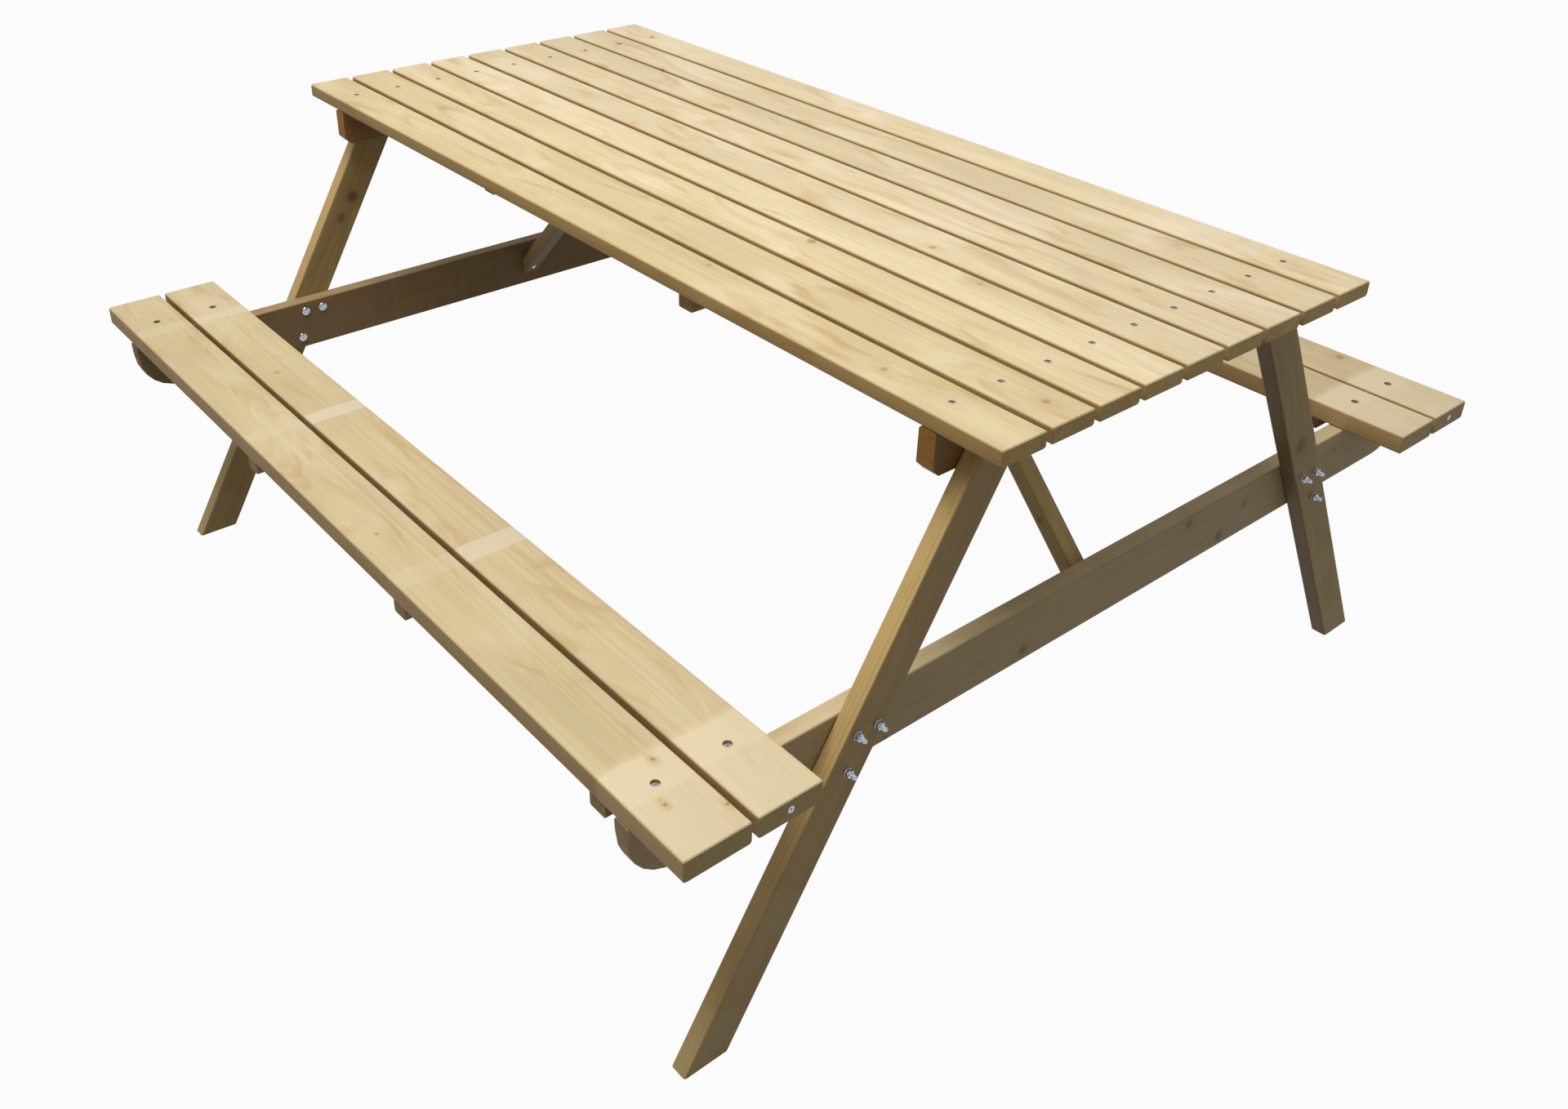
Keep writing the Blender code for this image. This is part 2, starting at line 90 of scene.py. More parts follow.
# Knots as (centre, radius, strength) and lath marks as (place along the board, half width, strength)
TOP_KNOTS = (
    ((0.381, -0.018, 0.750), 0.0055, 0.62),
    ((0.595, -0.318, 0.750), 0.0055, 0.55),
    ((0.246, -0.291, 0.750), 0.0040, 0.50),
    ((0.501, -0.058, 0.750), 0.0060, 0.34),
    ((0.634, 0.086, 0.750), 0.0080, 0.30),
    ((0.506, -0.276, 0.750), 0.0036, 0.45),
    ((-0.285, -0.028, 0.750), 0.0060, 0.40),
    ((0.757, -0.233, 0.750), 0.0060, 0.60),
)
SEAT_KNOTS = (
    ((0.665, -0.697, 0.438), 0.0032, 0.70),
    ((0.726, -0.727, 0.438), 0.0028, 0.75),
    ((0.765, -0.677, 0.438), 0.0028, 0.65),
)
SEAT_MARKS = ((-0.659, 0.015, 0.90), (-0.232, 0.014, 0.95), (0.214, 0.019, 0.80))
SEAT_END_MARKS = ((0.682, 0.030, 0.50), (0.730, 0.082, 0.55))
FRAME_KNOTS = (
    ((0.734, 0.404, 0.455), 0.0150, 0.85),
    ((-0.708, -0.339, 0.568), 0.0120, 0.85),
    ((0.708, 0.192, 0.394), 0.0080, 0.70),
    ((0.708, 0.276, 0.340), 0.0100, 0.75),
    ((0.708, -0.145, 0.340), 0.0080, 0.70),
    ((0.708, 0.328, 0.373), 0.0060, 0.60),
)
BEARER_MARKS = (
    (-0.291, 0.008, 0.14),
    (-0.180, 0.007, 0.12),
    (-0.098, 0.010, 0.14),
    (-0.025, 0.007, 0.12),
    (0.12, 0.010, 0.10),
)
LEFT_BEARER_MARKS = (
    (-0.430, 0.100, 0.40),
    (-0.291, 0.006, 0.40),
    (-0.215, 0.005, 0.30),
    (-0.150, 0.006, 0.40),
    (-0.065, 0.006, 0.30),
    (0.05, 0.008, 0.25),
)
LEG_MARKS = ((-0.405, 0.058, 0.45), (-0.216, 0.030, 0.30))
BRACE_KNOTS = (
    ((0.621, -0.0145, 0.452), 0.0060, 0.75),
    ((0.610, -0.0145, 0.434), 0.0050, 0.70),
)

# Tints, as shares of the red, green and blue of a wood's colour; the upper, under, side, left bearer and end
# batten tints hold painted light and painted shade
HONEY_TINT = (0.90, 0.87, 0.76, 1)
# Painted light: this tint lightens every face that looks up
PAINTED_LIGHT_UPPER_TINT = (1.54, 1.46, 1.30, 1)
# Painted shade: this tint darkens every face that looks down
PAINTED_SHADE_UNDER_TINT = (0.45, 0.43, 0.40, 1)
# Side tint: the sides' own darker, more saturated tone and painted shade in one
SIDE_TONE_AND_SHADE_TINT = (1.10, 0.90, 0.58)
END_TINT = (1.0, 0.88, 0.52)
# Painted shade: darkens the left bearer, whose seen face looks in under the table
LEFT_BEARER_PAINTED_SHADE = (0.52, 0.43, 0.33)
# Darkens the end battens under the top's overhang: partly their own deeper tone, partly painted shade
END_BATTEN_TONE_AND_SHADE = (0.56, 0.44, 0.30)
KNOT_RING_TINT = (1.9, 2.0, 2.0)
PLACED_RING_TINT = (2.2, 2.3, 2.3)

# Pale patches: gain and lift of each channel, with the red at which the bleached lift is whole
BLEACH_GAIN = (1.03, 1.06, 1.08)
BLEACH_LIFT = (0.05, 0.065, 0.12)
BLEACH_FULL_RED = 0.75
WASH_GAIN = (1.10, 1.12, 1.12)
WASH_LIFT = (0.10, 0.10, 0.12)

# Mesh of a slat
RAIL_POINTS = 33
CORNER_STEPS = 4
DRILL_SIDES = 28
TIP_MARGIN = 0.0005
END_DRILL_PLAY = 0.0002
END_DRILL_DEPTH = 0.0042

# Mesh of a frame timber: merging, the slant of its faces, and the run of the leaning ones
MERGE_DISTANCE = 0.00002
FLAT_ANGLE = 0.002
END_FACE = 0.6
LEVEL_FACE = 0.7
UPPER_FACE = 0.4
LEG_FOOT_WIDTH = 0.0661
BRACE_RISE_OVER_RUN = 1.043

# Shading is smooth where faces meet at less than these angles
SMOOTH_BELOW = math.radians(32)
TIMBER_SMOOTH_BELOW = math.radians(52)

# Carriage bolts with washer and nut
CLEARANCE = 0.0003
BOLT_HEAD_RADIUS = 0.008
BOLT_HEAD_RISE = 0.0036
BOLT_HEAD_EDGE = 0.0006
DOME_STEPS = 6
DOME_STEPS_TO_POLE = 6.4
SHANK_RADIUS = 0.003
PLAIN_SHANK_SHARE = 0.98
THREAD_NECK = 0.0029
THREAD_ROOT = 0.00262
THREAD_CREST = 0.00298
THREAD_LAST = 0.0026
BOLT_TIP = 0.0022
WASHER_BORE = 0.0034
WASHER_RADIUS = 0.0062
WASHER_THICK = 0.0015
WASHER_EASE = 0.0002
NUT_RADIUS = 0.005
NUT_HEIGHT = 0.005
NUT_CHAMFER = 0.0006
NUT_FACE_SHARE = 0.94
BOLT_SIDES = 24
WASHER_SIDES = 28
NUT_SIDES = 36
THREAD_SIDES = 20

# Countersunk screws with a cross recess
SCREW_EDGE = 0.00025
SCREW_RIM = 0.0008
SCREW_CONE = 0.0034
SCREW_NECK = 0.0024
SCREW_POINT = 0.0022
SCREW_SIDES = 28
SCREW_INNER_SHARE = 0.62
SCREW_FACE_SHARE = 0.97
RECESS_DEPTH = 0.0022
RECESS_START = -0.002
RECESS_WIDTH = 0.00085
RECESS_TIP_SHARE = 0.45
RECESS_MOUTH_SHARE = 1.12
SLAT_SCREW_LENGTH = 0.012
SLAT_SCREW_RISE = 0.0014
BATTEN_SCREW_HEAD = 0.008
BATTEN_SCREW_LENGTH = 0.010
BATTEN_SCREW_PROUD = 0.0003
BATTEN_END_MARGIN = 0.02
FRAME_SCREW_LENGTH = 0.026

# Stage
FLOOR_SIZE = 30.0
FLOOR_DROP = 0.0005
FLOOR_WHITE = 0.96
SKY_LIGHT = 0.22
LAMP_PLACE = (0.0, -1.0, 4.0)
LAMP_AIM = (0.0, 0.0, 0.5)
LAMP_SIZE = 2.6
LAMP_POWER = 110.0
CAMERA_PLACE = (1.60683, -1.37426, 1.49775)
CAMERA_AHEAD = (-0.666886, 0.552527, -0.499977)
CAMERA_RIGHT = (0.632226, 0.774678, 0.012816)
CAMERA_SHIFT = (0.0326, -0.0746)
SENSOR_WIDTH = 36.0


def middle(name):
    """Centre of a frame node's box."""
    low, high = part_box(name)
    return (low + high) / 2


def extent(name):
    """Size of a frame node's box."""
    low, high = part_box(name)
    return high - low


# Sizes and finishes that a user may change

def length_property(name, description, default):
    """A length in metres."""
    return bpy.props.FloatProperty(name=name, description=description, default=default, unit="LENGTH")


def bore_property(name, description, default):
    """A radius and a depth in metres."""
    return bpy.props.FloatVectorProperty(
        name=name, description=description, default=default, size=2, unit="LENGTH"
    )


def colour_property(name, description, default):
    """A colour in linear red, green and blue."""
    return bpy.props.FloatVectorProperty(
        name=name, description=description, default=default, size=3, subtype="COLOR"
    )


class SlatSizes(bpy.types.PropertyGroup):
    """Rounding, bow and counterbores of the slats"""

    edge_radius: length_property("Edge radius", "Rounding of the slats' long edges", 0.0037)
    end_ease: length_property("End ease", "Easing of the edges at the slats' ends", 0.0013)
    bow: length_property("Bow", "How far a slat wanders from straight", 0.0006)
    top_hole: bore_property("Top holes", "Radius and depth of the counterbores in the top", (0.0043, 0.0024))
    seat_hole: bore_property(
        "Seat holes", "Radius and depth of the counterbores in the seats", (0.00575, 0.0042)
    )


class FastenerSizes(bpy.types.PropertyGroup):
    """Heads of the screws and thread of the bolts"""

    screw_head: length_property("Screw head", "Diameter of the countersunk screw heads", 0.0095)
    top_screw_head: length_property("Top screw head", "Diameter of the heads in the top", 0.0078)
    thread_pitch: length_property("Thread pitch", "Pitch of the bolts' threads", 0.001)


class PineFinish(bpy.types.PropertyGroup):
    """Colours of the early wood, the late wood and the knots"""

    pale: colour_property("Pale wood", "Early wood of the slats", (0.80, 0.665, 0.42))
    warm: colour_property("Warm wood", "Late wood of the slats", (0.60, 0.40, 0.17))
    frame_pale: colour_property("Pale frame", "Early wood of the frame", (0.45, 0.348, 0.165))
    frame_warm: colour_property("Warm frame", "Late wood of the frame", (0.24, 0.155, 0.058))
    bearer_pale: colour_property("Pale bearer", "Early wood of the bearers", (0.50, 0.42, 0.265))
    bearer_warm: colour_property("Warm bearer", "Late wood of the bearers", (0.335, 0.262, 0.15))
    batten_pale: colour_property("Pale batten", "Early wood of the battens", (0.53, 0.425, 0.245))
    batten_warm: colour_property("Warm batten", "Late wood of the battens", (0.32, 0.22, 0.09))
    seat_pale: colour_property("Pale seat", "Early wood of the seats", (0.72, 0.58, 0.335))
    seat_warm: colour_property("Warm seat", "Late wood of the seats", (0.54, 0.36, 0.13))
    knot: colour_property("Knot", "Heart of the knots", (0.27, 0.125, 0.040))
    dark_knot: colour_property("Dark knot", "Heart of the frame's knots", (0.075, 0.036, 0.016))


class StageLook(bpy.types.PropertyGroup):
    """Floor and lens"""

    floor: colour_property("Floor", "Colour of the floor", (0.30, 0.30, 0.30))
    lens: bpy.props.FloatProperty(
        name="Lens", description="Focal length of the camera", default=33.486, unit="CAMERA"
    )


# Small tools for node trees

class Weaver:
    """Adds nodes to a tree and joins them, taking sockets or plain values alike."""

    def __init__(self, tree):
        self.tree = tree

    def add(self, kind, **settings):
        """A new node with its settings."""
        node = self.tree.nodes.new(kind)
        for key, value in settings.items():
            setattr(node, key, value)
        return node

    def feed(self, socket, value):
        """Joins a socket to another, or gives it a plain value. None leaves it as it is."""
        if isinstance(value, bpy.types.NodeSocket):
            self.tree.links.new(value, socket)
        elif value is not None:
            socket.default_value = value

    def call(self, kind, inputs, output=0, **settings):
        """One output of a new node, with its inputs fed."""
        return self.outputs(kind, inputs, **settings)[output]

    def outputs(self, kind, inputs, **settings):
        """All outputs of a new node, with its inputs fed."""
        node = self.add(kind, **settings)
        for key, value in inputs.items():
            self.feed(node.inputs[key], value)
        return node.outputs

    def group(self, tree, inputs):
        """The outputs of a shader group, with its inputs fed."""
        return self.outputs("ShaderNodeGroup", inputs, node_tree=tree)

    def math(self, operation, first, second=None, third=None):
        """An operation on up to three values."""
        return self.call("ShaderNodeMath", {0: first, 1: second, 2: third}, operation=operation)

    def vector_math(self, operation, first, second=None):
        """An operation on one or two vectors, of which a length is a plain value."""
        output = "Value" if operation == "LENGTH" else "Vector"
        return self.call("ShaderNodeVectorMath", {0: first, 1: second}, output, operation=operation)

    def vector(self, x, y, z):
        """A vector from three values."""
        return self.call("ShaderNodeCombineXYZ", {0: x, 1: y, 2: z})

    def split(self, value, kind="ShaderNodeSeparateXYZ"):
        """The three values of a vector, or of a colour."""
        return self.outputs(kind, {0: value})

    def noise(self, place, scale, detail, **more):
        """Soft noise at a place."""
        return self.call("ShaderNodeTexNoise", {"Vector": place, "Scale": scale, "Detail": detail, **more})

    def ramp(self, value, low, high):
        """Smooth 0 to 1 as value goes from low to high."""
        inputs = {"Value": value, "From Min": low, "From Max": high}
        return self.call("ShaderNodeMapRange", inputs, interpolation_type="SMOOTHSTEP")

    def blend(self, factor, first, second, kind="MIX"):
        """Two colours mixed by a factor."""
        node = self.add("ShaderNodeMix", data_type="RGBA", blend_type=kind)
        self.feed(node.inputs["Factor"], factor)
        self.feed(node.inputs["A"], first)
        self.feed(node.inputs["B"], second)
        return node.outputs["Result"]

    def tinted(self, factor, colour, tint):
        """A colour that takes a tint by a factor."""
        return self.blend(factor, colour, self.blend(1.0, colour, tint, "MULTIPLY"))


def new_group(name, kind, inputs, outputs):
    """An empty node group with named sockets, its weaver, and its inner input and output nodes."""
    tree = bpy.data.node_groups.new(name, kind)
    for label, socket, value in inputs:
        made = tree.interface.new_socket(label, in_out="INPUT", socket_type=socket)
        if value is not None:
            made.default_value = value
    for label, socket in outputs:
        tree.interface.new_socket(label, in_out="OUTPUT", socket_type=socket)
    weaver = Weaver(tree)
    return tree, weaver, weaver.add("NodeGroupInput").outputs, weaver.add("NodeGroupOutput").inputs


# Wood figure shared by every timber

def pine_figure():
    """Growth rings, fibres, streaks and knots of a board, from its own length, width and thickness."""
    if "pine_figure" in bpy.data.node_groups:
        return bpy.data.node_groups["pine_figure"]
    inputs = [
        ("Grain", "NodeSocketVector", None),
        ("Board", "NodeSocketFloat", 0.0),
        ("Ring Spacing", "NodeSocketFloat", 0.0035),
        ("Wander", "NodeSocketFloat", 0.02),
        ("Knots", "NodeSocketFloat", 0.2),
        ("Knot Size", "NodeSocketFloat", 0.006),
    ]
    labels = ("Late Wood", "Fibre", "Streak", "Cloud", "Blush", "Knot", "Knot Ring", "Tone", "Height")
    outputs = [(label, "NodeSocketFloat") for label in labels]
    tree, w, given, out = new_group("pine_figure", "ShaderNodeTree", inputs, outputs)
    board = given["Board"]
    along, across, thick = w.split(given["Grain"])
    lot = w.call("ShaderNodeTexWhiteNoise", {"W": board}, output="Color", noise_dimensions="1D")
    chance = w.split(lot, "ShaderNodeSeparateColor")
    shift = w.math("MULTIPLY", board, 3.17)

    def stretched(lengthwise, crosswise):
        """The board's coordinates scaled along and across the grain, and moved on from board to board."""
        return w.vector(
            w.math("MULTIPLY_ADD", along, lengthwise, shift),
            w.math("MULTIPLY_ADD", across, crosswise, shift),
            w.math("MULTIPLY", thick, crosswise),
        )

    # Slow drift of the pith along the board
    drift_at = w.vector(w.math("MULTIPLY_ADD", along, 1.5, shift), w.math("MULTIPLY", across, 4.0), shift)
    drift = w.noise(drift_at, 1.0, 2.0, Roughness=0.45)
    drift = w.math("MULTIPLY", w.math("SUBTRACT", drift, 0.5), given["Wander"])

    # Knots, one chance in each cell of the face
    cell_long = 0.16
    cell_wide = 0.046
    place = w.vector(
        w.math("ADD", w.math("DIVIDE", along, cell_long), shift),
        w.math("ADD", w.math("DIVIDE", across, cell_wide), shift),
        0.0,
    )
    scatter = {"Vector": place, "Scale": 1.0, "Randomness": 0.9}
    cells = w.outputs("ShaderNodeTexVoronoi", scatter, voronoi_dimensions="2D", feature="F1")
    pick = w.split(cells["Color"], "ShaderNodeSeparateColor")
    gap = w.vector_math("SUBTRACT", place, cells["Position"])
    gap = w.vector_math("MULTIPLY", gap, (cell_long * 0.8, cell_wide, 0.0))
    wobble = w.noise(given["Grain"], 160.0, 2.0)
    reach = w.vector_math("LENGTH", gap)
    reach = w.math("MULTIPLY_ADD", w.math("SUBTRACT", wobble, 0.5), 0.0022, reach)
    there = w.math("LESS_THAN", pick[0], given["Knots"])
    size = w.math("MULTIPLY", w.math("MULTIPLY_ADD", pick[1], 0.85, 0.22), given["Knot Size"])
    ratio = w.math("DIVIDE", reach, size)
    knot = w.math("MULTIPLY", there, w.math("SUBTRACT", 1.0, w.ramp(ratio, 0.72, 1.12)))
    near = w.math("DIVIDE", ratio, 2.6)
    halo = w.math("EXPONENT", w.math("MULTIPLY", w.math("MULTIPLY", near, near), -1.0))
    halo = w.math("MULTIPLY", there, halo)
    knot_ring = w.math("MULTIPLY", w.math("ADD", w.math("SINE", w.math("MULTIPLY", reach, 4200.0)), 1.0), 0.5)

    # Growth rings about a pith that lies off the board
    off_across = w.math("MULTIPLY", w.math("SUBTRACT", chance[0], 0.5), 0.075)
    off_thick = w.math("MULTIPLY_ADD", chance[1], 0.045, 0.012)
    y = w.math("ADD", w.math("ADD", across, off_across), drift)
    z = w.math("ADD", w.math("MULTIPLY_ADD", drift, 0.6, thick), off_thick)
    radius = w.math("SQRT", w.math("ADD", w.math("MULTIPLY", y, y), w.math("MULTIPLY", z, z)))
    radius = w.math("MULTIPLY_ADD", halo, 0.012, radius)
    turns = w.math("DIVIDE", radius, given["Ring Spacing"])
    uneven = w.call("ShaderNodeTexNoise", {"W": turns, "Scale": 0.7, "Detail": 1.0}, noise_dimensions="1D")
    turns = w.math("MULTIPLY_ADD", uneven, 1.1, turns)
    ring = w.math("FRACT", turns)
    late = w.math("MULTIPLY", w.ramp(ring, 0.30, 0.90), w.math("SUBTRACT", 1.0, w.ramp(ring, 0.92, 1.0)))

    # Fibres, long streaks and soft clouds of tone
    fibre_at = w.vector(
        w.math("MULTIPLY_ADD", along, 9.0, shift),
        w.math("MULTIPLY", across, 700.0),
        w.math("MULTIPLY", thick, 700.0),
    )
    fibre = w.noise(fibre_at, 1.0, 2.0, Roughness=0.6)
    streak = w.noise(stretched(1.3, 55.0), 1.0, 3.0, Roughness=0.55)
    cloud = w.noise(stretched(4.5, 11.0), 1.0, 2.0, Distortion=0.6)
    blush = w.noise(stretched(4.2, 17.0), 1.0, 3.0, Roughness=0.6, Distortion=1.2)
    blush = w.math("MAXIMUM", w.ramp(blush, 0.51, 0.70), w.math("MULTIPLY", halo, 0.75))
    height = w.math("MULTIPLY_ADD", late, 0.5, w.math("MULTIPLY", fibre, 0.6))
    height = w.math("MULTIPLY_ADD", knot, 0.35, height)

    values = (late, fibre, streak, cloud, blush, knot, knot_ring, chance[2], height)
    for label, value in zip(labels, values):
        w.feed(out[label], value)
    return tree


def lath_mark():
    """A pale band across a board where a lath once covered it."""
    if "lath_mark" in bpy.data.node_groups:
        return bpy.data.node_groups["lath_mark"]
    inputs = [
        ("Along", "NodeSocketFloat", 0.0),
        ("Centre", "NodeSocketFloat", 0.0),
        ("Half Width", "NodeSocketFloat", 0.02),
        ("Ragged", "NodeSocketFloat", 0.5),
    ]
    tree, w, given, out = new_group("lath_mark", "ShaderNodeTree", inputs, [("Mask", "NodeSocketFloat")])
    gap = w.math("ABSOLUTE", w.math("SUBTRACT", given["Along"], given["Centre"]))
    gap = w.math("MULTIPLY_ADD", w.math("SUBTRACT", given["Ragged"], 0.5), 0.012, gap)
    mask = w.math("SUBTRACT", 1.0, w.ramp(w.math("DIVIDE", gap, given["Half Width"]), 0.85, 1.1))
    w.feed(out["Mask"], mask)
    return tree


def placed_knot():
    """A knot at a given point of the table, with a soft halo round it."""
    if "placed_knot" in bpy.data.node_groups:
        return bpy.data.node_groups["placed_knot"]
    inputs = [
        ("Point", "NodeSocketVector", None),
        ("Centre", "NodeSocketVector", (0.0, 0.0, 0.0)),
        ("Radius", "NodeSocketFloat", 0.006),
    ]
    outputs = [("Heart", "NodeSocketFloat"), ("Halo", "NodeSocketFloat"), ("Ring", "NodeSocketFloat")]
    tree, w, given, out = new_group("placed_knot", "ShaderNodeTree", inputs, outputs)
    gap = w.vector_math("SUBTRACT", given["Point"], given["Centre"])
    reach = w.vector_math("LENGTH", gap)
    rough = w.noise(given["Point"], 190.0, 2.0)
    reach = w.math("MULTIPLY_ADD", w.math("SUBTRACT", rough, 0.5), 0.004, reach)
    ratio = w.math("DIVIDE", reach, given["Radius"])
    w.feed(out["Heart"], w.math("SUBTRACT", 1.0, w.ramp(ratio, 0.45, 1.15)))
    drawn = w.vector_math("LENGTH", w.vector_math("MULTIPLY", gap, (0.5, 1.0, 1.0)))
    drawn = w.math("MULTIPLY_ADD", w.math("SUBTRACT", rough, 0.5), 0.006, drawn)
    w.feed(out["Halo"], w.math("SUBTRACT", 1.0, w.ramp(w.math("DIVIDE", drawn, given["Radius"]), 0.5, 3.0)))
    w.feed(out["Ring"], w.math("MULTIPLY_ADD", w.math("SINE", w.math("MULTIPLY", ratio, 14.0)), 0.5, 0.5))
    return tree


def scaled(colour, tint):
    """A colour with each channel times its share of a tint."""
    return tuple(value * share for value, share in zip(colour, tint))


def paler(colour, gain, lift, strength=1.0):
    """A colour with each channel raised by a gain and a lift."""
    return tuple(value * more + added * strength for value, more, added in zip(colour, gain, lift))


def attribute(w, name, output="Fac"):
    """A stored value of the piece's own mesh."""
    return w.add("ShaderNodeAttribute", attribute_name=name).outputs[output]


def add_placed_knots(w, colour, places, blush, knot):
    """Lays knots at given points over a colour."""
    where = w.add("ShaderNodeTexCoord").outputs["Object"]
    for centre, radius, strength in places:
        spot = w.group(placed_knot(), {"Point": where, "Centre": centre, "Radius": radius})
        colour = w.blend(w.math("MULTIPLY", spot["Halo"], 0.8 * strength), colour, (*blush, 1))
        heart = w.blend(spot["Ring"], (*knot, 1), (*scaled(knot, PLACED_RING_TINT), 1))
        colour = w.blend(w.math("MULTIPLY", spot["Heart"], strength), colour, heart)
    return colour


def board_share(w, boards):
    """1 on the named boards and less on the others, or 1 everywhere when none is named."""
    if not boards:
        return 1.0
    share = 0.4
    for board in boards:
        same = w.math("COMPARE", attribute(w, "board"), float(board), 0.5)
        share = w.math("MULTIPLY_ADD", same, 0.6, share)
    return share


def add_lath_marks(w, colour, marks, along, ragged, bleached, share):
    """Lays the pale bands of stacking laths over a colour."""
    for centre, half_width, strength in marks:
        inputs = {"Along": along, "Centre": centre, "Half Width": half_width, "Ragged": ragged}
        mark = w.group(lath_mark(), inputs)["Mask"]
        mask = w.math("MULTIPLY", w.math("MULTIPLY", mark, share), strength)
        colour = w.blend(mask, colour, (*bleached, 1))
    return colour


def pine(
    name, pale, warm, knot, marks=(), placed=(), marked=(), end_marks=(),
    knots=0.1, knot_size=0.006, figure=0.35, blotch=0.5, bleach=0.3, side=0.7, end=0.6,
):
    """Planed pine, tinted apart on the upper, under, side and end faces of a board.
    Upper faces take painted light, under faces painted shade, and sides their own tone with painted shade.

    knots is the chance of a knot in a cell, figure the strength of rings and streaks, blotch and bleach
    those of warm and pale patches, side the brightness of the sides, their own tone and painted shade in one,
    and end the brightness of the ends.
    """
    made = bpy.data.materials.new(name)
    made.use_nodes = True
    w = Weaver(made.node_tree)
    shader = made.node_tree.nodes["Principled BSDF"]
    grain = attribute(w, "grain", "Vector")
    board = attribute(w, "board")
    ends = attribute(w, "end")
    inputs = {"Grain": grain, "Board": board, "Knots": knots, "Knot Size": knot_size}
    sign = w.group(pine_figure(), inputs)

    # Rings, streaks and patches, with a tone for each board
    blush = tuple(0.72 * late + 0.28 * early for late, early in zip(warm, pale))
    rings = w.math("MULTIPLY", sign["Late Wood"], w.math("MULTIPLY_ADD", ends, 0.5, figure))
    colour = w.blend(rings, (*pale, 1), (*warm, 1))
    streaks = w.math("MULTIPLY", w.ramp(sign["Streak"], 0.44, 0.78), figure * 0.9)
    colour = w.blend(streaks, colour, (*warm, 1))
    colour = w.blend(w.math("MULTIPLY", sign["Blush"], blotch), colour, (*blush, 1))
    tone = w.math("MULTIPLY_ADD", sign["Cloud"], 0.36 * blotch, 1.0 - 0.18 * blotch)
    tone = w.math("MULTIPLY", tone, w.math("MULTIPLY_ADD", sign["Tone"], 0.14, 0.93))
    tone = w.math("MULTIPLY", tone, w.math("MULTIPLY_ADD", sign["Fibre"], 0.20, 0.90))
    colour = w.blend(1.0, colour, w.vector(tone, tone, tone), "MULTIPLY")
    bleached = paler(pale, BLEACH_GAIN, BLEACH_LIFT, (pale[0] / BLEACH_FULL_RED) ** 2)
    washed = paler(pale, WASH_GAIN, WASH_LIFT)
    patches = w.math("MULTIPLY", w.ramp(sign["Cloud"], 0.50, 0.68), bleach)
    colour = w.blend(patches, colour, (*bleached, 1))

    # Random knots, then lath marks, then the knots that have a place
    heart = w.blend(sign["Knot Ring"], (*knot, 1), (*scaled(knot, KNOT_RING_TINT), 1))
    colour = w.blend(w.math("MULTIPLY", sign["Knot"], 0.62), colour, heart)
    along = w.split(grain)[0]
    colour = add_lath_marks(w, colour, marks, along, sign["Cloud"], bleached, board_share(w, marked))
    colour = add_lath_marks(w, colour, end_marks, along, sign["Cloud"], washed, 1.0)
    colour = add_placed_knots(w, colour, placed, blush, knot)

    # Tints of the front slats of the top, and of each kind of face: painted light on faces that look up,
    # painted shade on faces that look down, and the sides' own tone with painted shade
    honey = w.math("SUBTRACT", 1.0, w.ramp(board, 0.0, 4.0))
    colour = w.tinted(honey, colour, HONEY_TINT)
    # Painted light on faces that look up
    colour = w.tinted(attribute(w, "upper"), colour, PAINTED_LIGHT_UPPER_TINT)
    # Painted shade on faces that look down
    colour = w.tinted(attribute(w, "under"), colour, PAINTED_SHADE_UNDER_TINT)
    # Sides: their own tone and painted shade
    side_tone_and_shade = tuple(side * share for share in SIDE_TONE_AND_SHADE_TINT)
    colour = w.tinted(attribute(w, "side"), colour, (*side_tone_and_shade, 1))
    end_tint = tuple(end * share for share in END_TINT)
    colour = w.tinted(ends, colour, (*end_tint, 1))

    w.feed(shader.inputs["Base Color"], colour)
    w.feed(shader.inputs["Roughness"], w.math("MULTIPLY_ADD", sign["Fibre"], 0.16, 0.52))
    shader.inputs["Specular IOR Level"].default_value = 0.35
    relief = {"Strength": 0.30, "Distance": 0.0008, "Height": sign["Height"]}
    w.feed(shader.inputs["Normal"], w.call("ShaderNodeBump", relief, output="Normal"))
    return made


def zinc():
    """Bright zinc plate with a faint blue cast and fine blotches."""
    if "bright_zinc" in bpy.data.materials:
        return bpy.data.materials["bright_zinc"]
    made = bpy.data.materials.new("bright_zinc")
    made.use_nodes = True
    w = Weaver(made.node_tree)
    shader = made.node_tree.nodes["Principled BSDF"]
    where = w.add("ShaderNodeTexCoord").outputs["Object"]
    blotch = w.noise(where, 420.0, 3.0)
    colour = w.blend(w.ramp(blotch, 0.35, 0.7), (0.28, 0.31, 0.36, 1), (0.60, 0.63, 0.68, 1))
    w.feed(shader.inputs["Base Color"], colour)
    shader.inputs["Metallic"].default_value = 1.0
    w.feed(shader.inputs["Roughness"], w.math("MULTIPLY_ADD", blotch, 0.25, 0.16))
    return made


# Mesh helpers

def new_object(name, data):
    """A new object in the scene."""
    made = bpy.data.objects.new(name, data)
    bpy.context.scene.collection.objects.link(made)
    return made


def plain_mesh(holder):
    """The mesh of an object with its modifiers applied."""
    graph = bpy.context.evaluated_depsgraph_get()
    graph.update()
    return bpy.data.meshes.new_from_object(holder.evaluated_get(graph), depsgraph=graph)


def set_shading(mesh, smooth_below=SMOOTH_BELOW):
    """Smooth shading, with sharp edges where faces meet at a larger angle."""
    mesh.shade_smooth()
    mesh.set_sharp_from_angle(angle=smooth_below)


def store(mesh, label, kind, domain, values):
    """Keeps a list of values on a mesh as a named attribute."""
    mesh.attributes.new(label, kind, domain)
    key = "vector" if kind == "FLOAT_VECTOR" else "value"
    mesh.attributes[label].data.foreach_set(key, values)


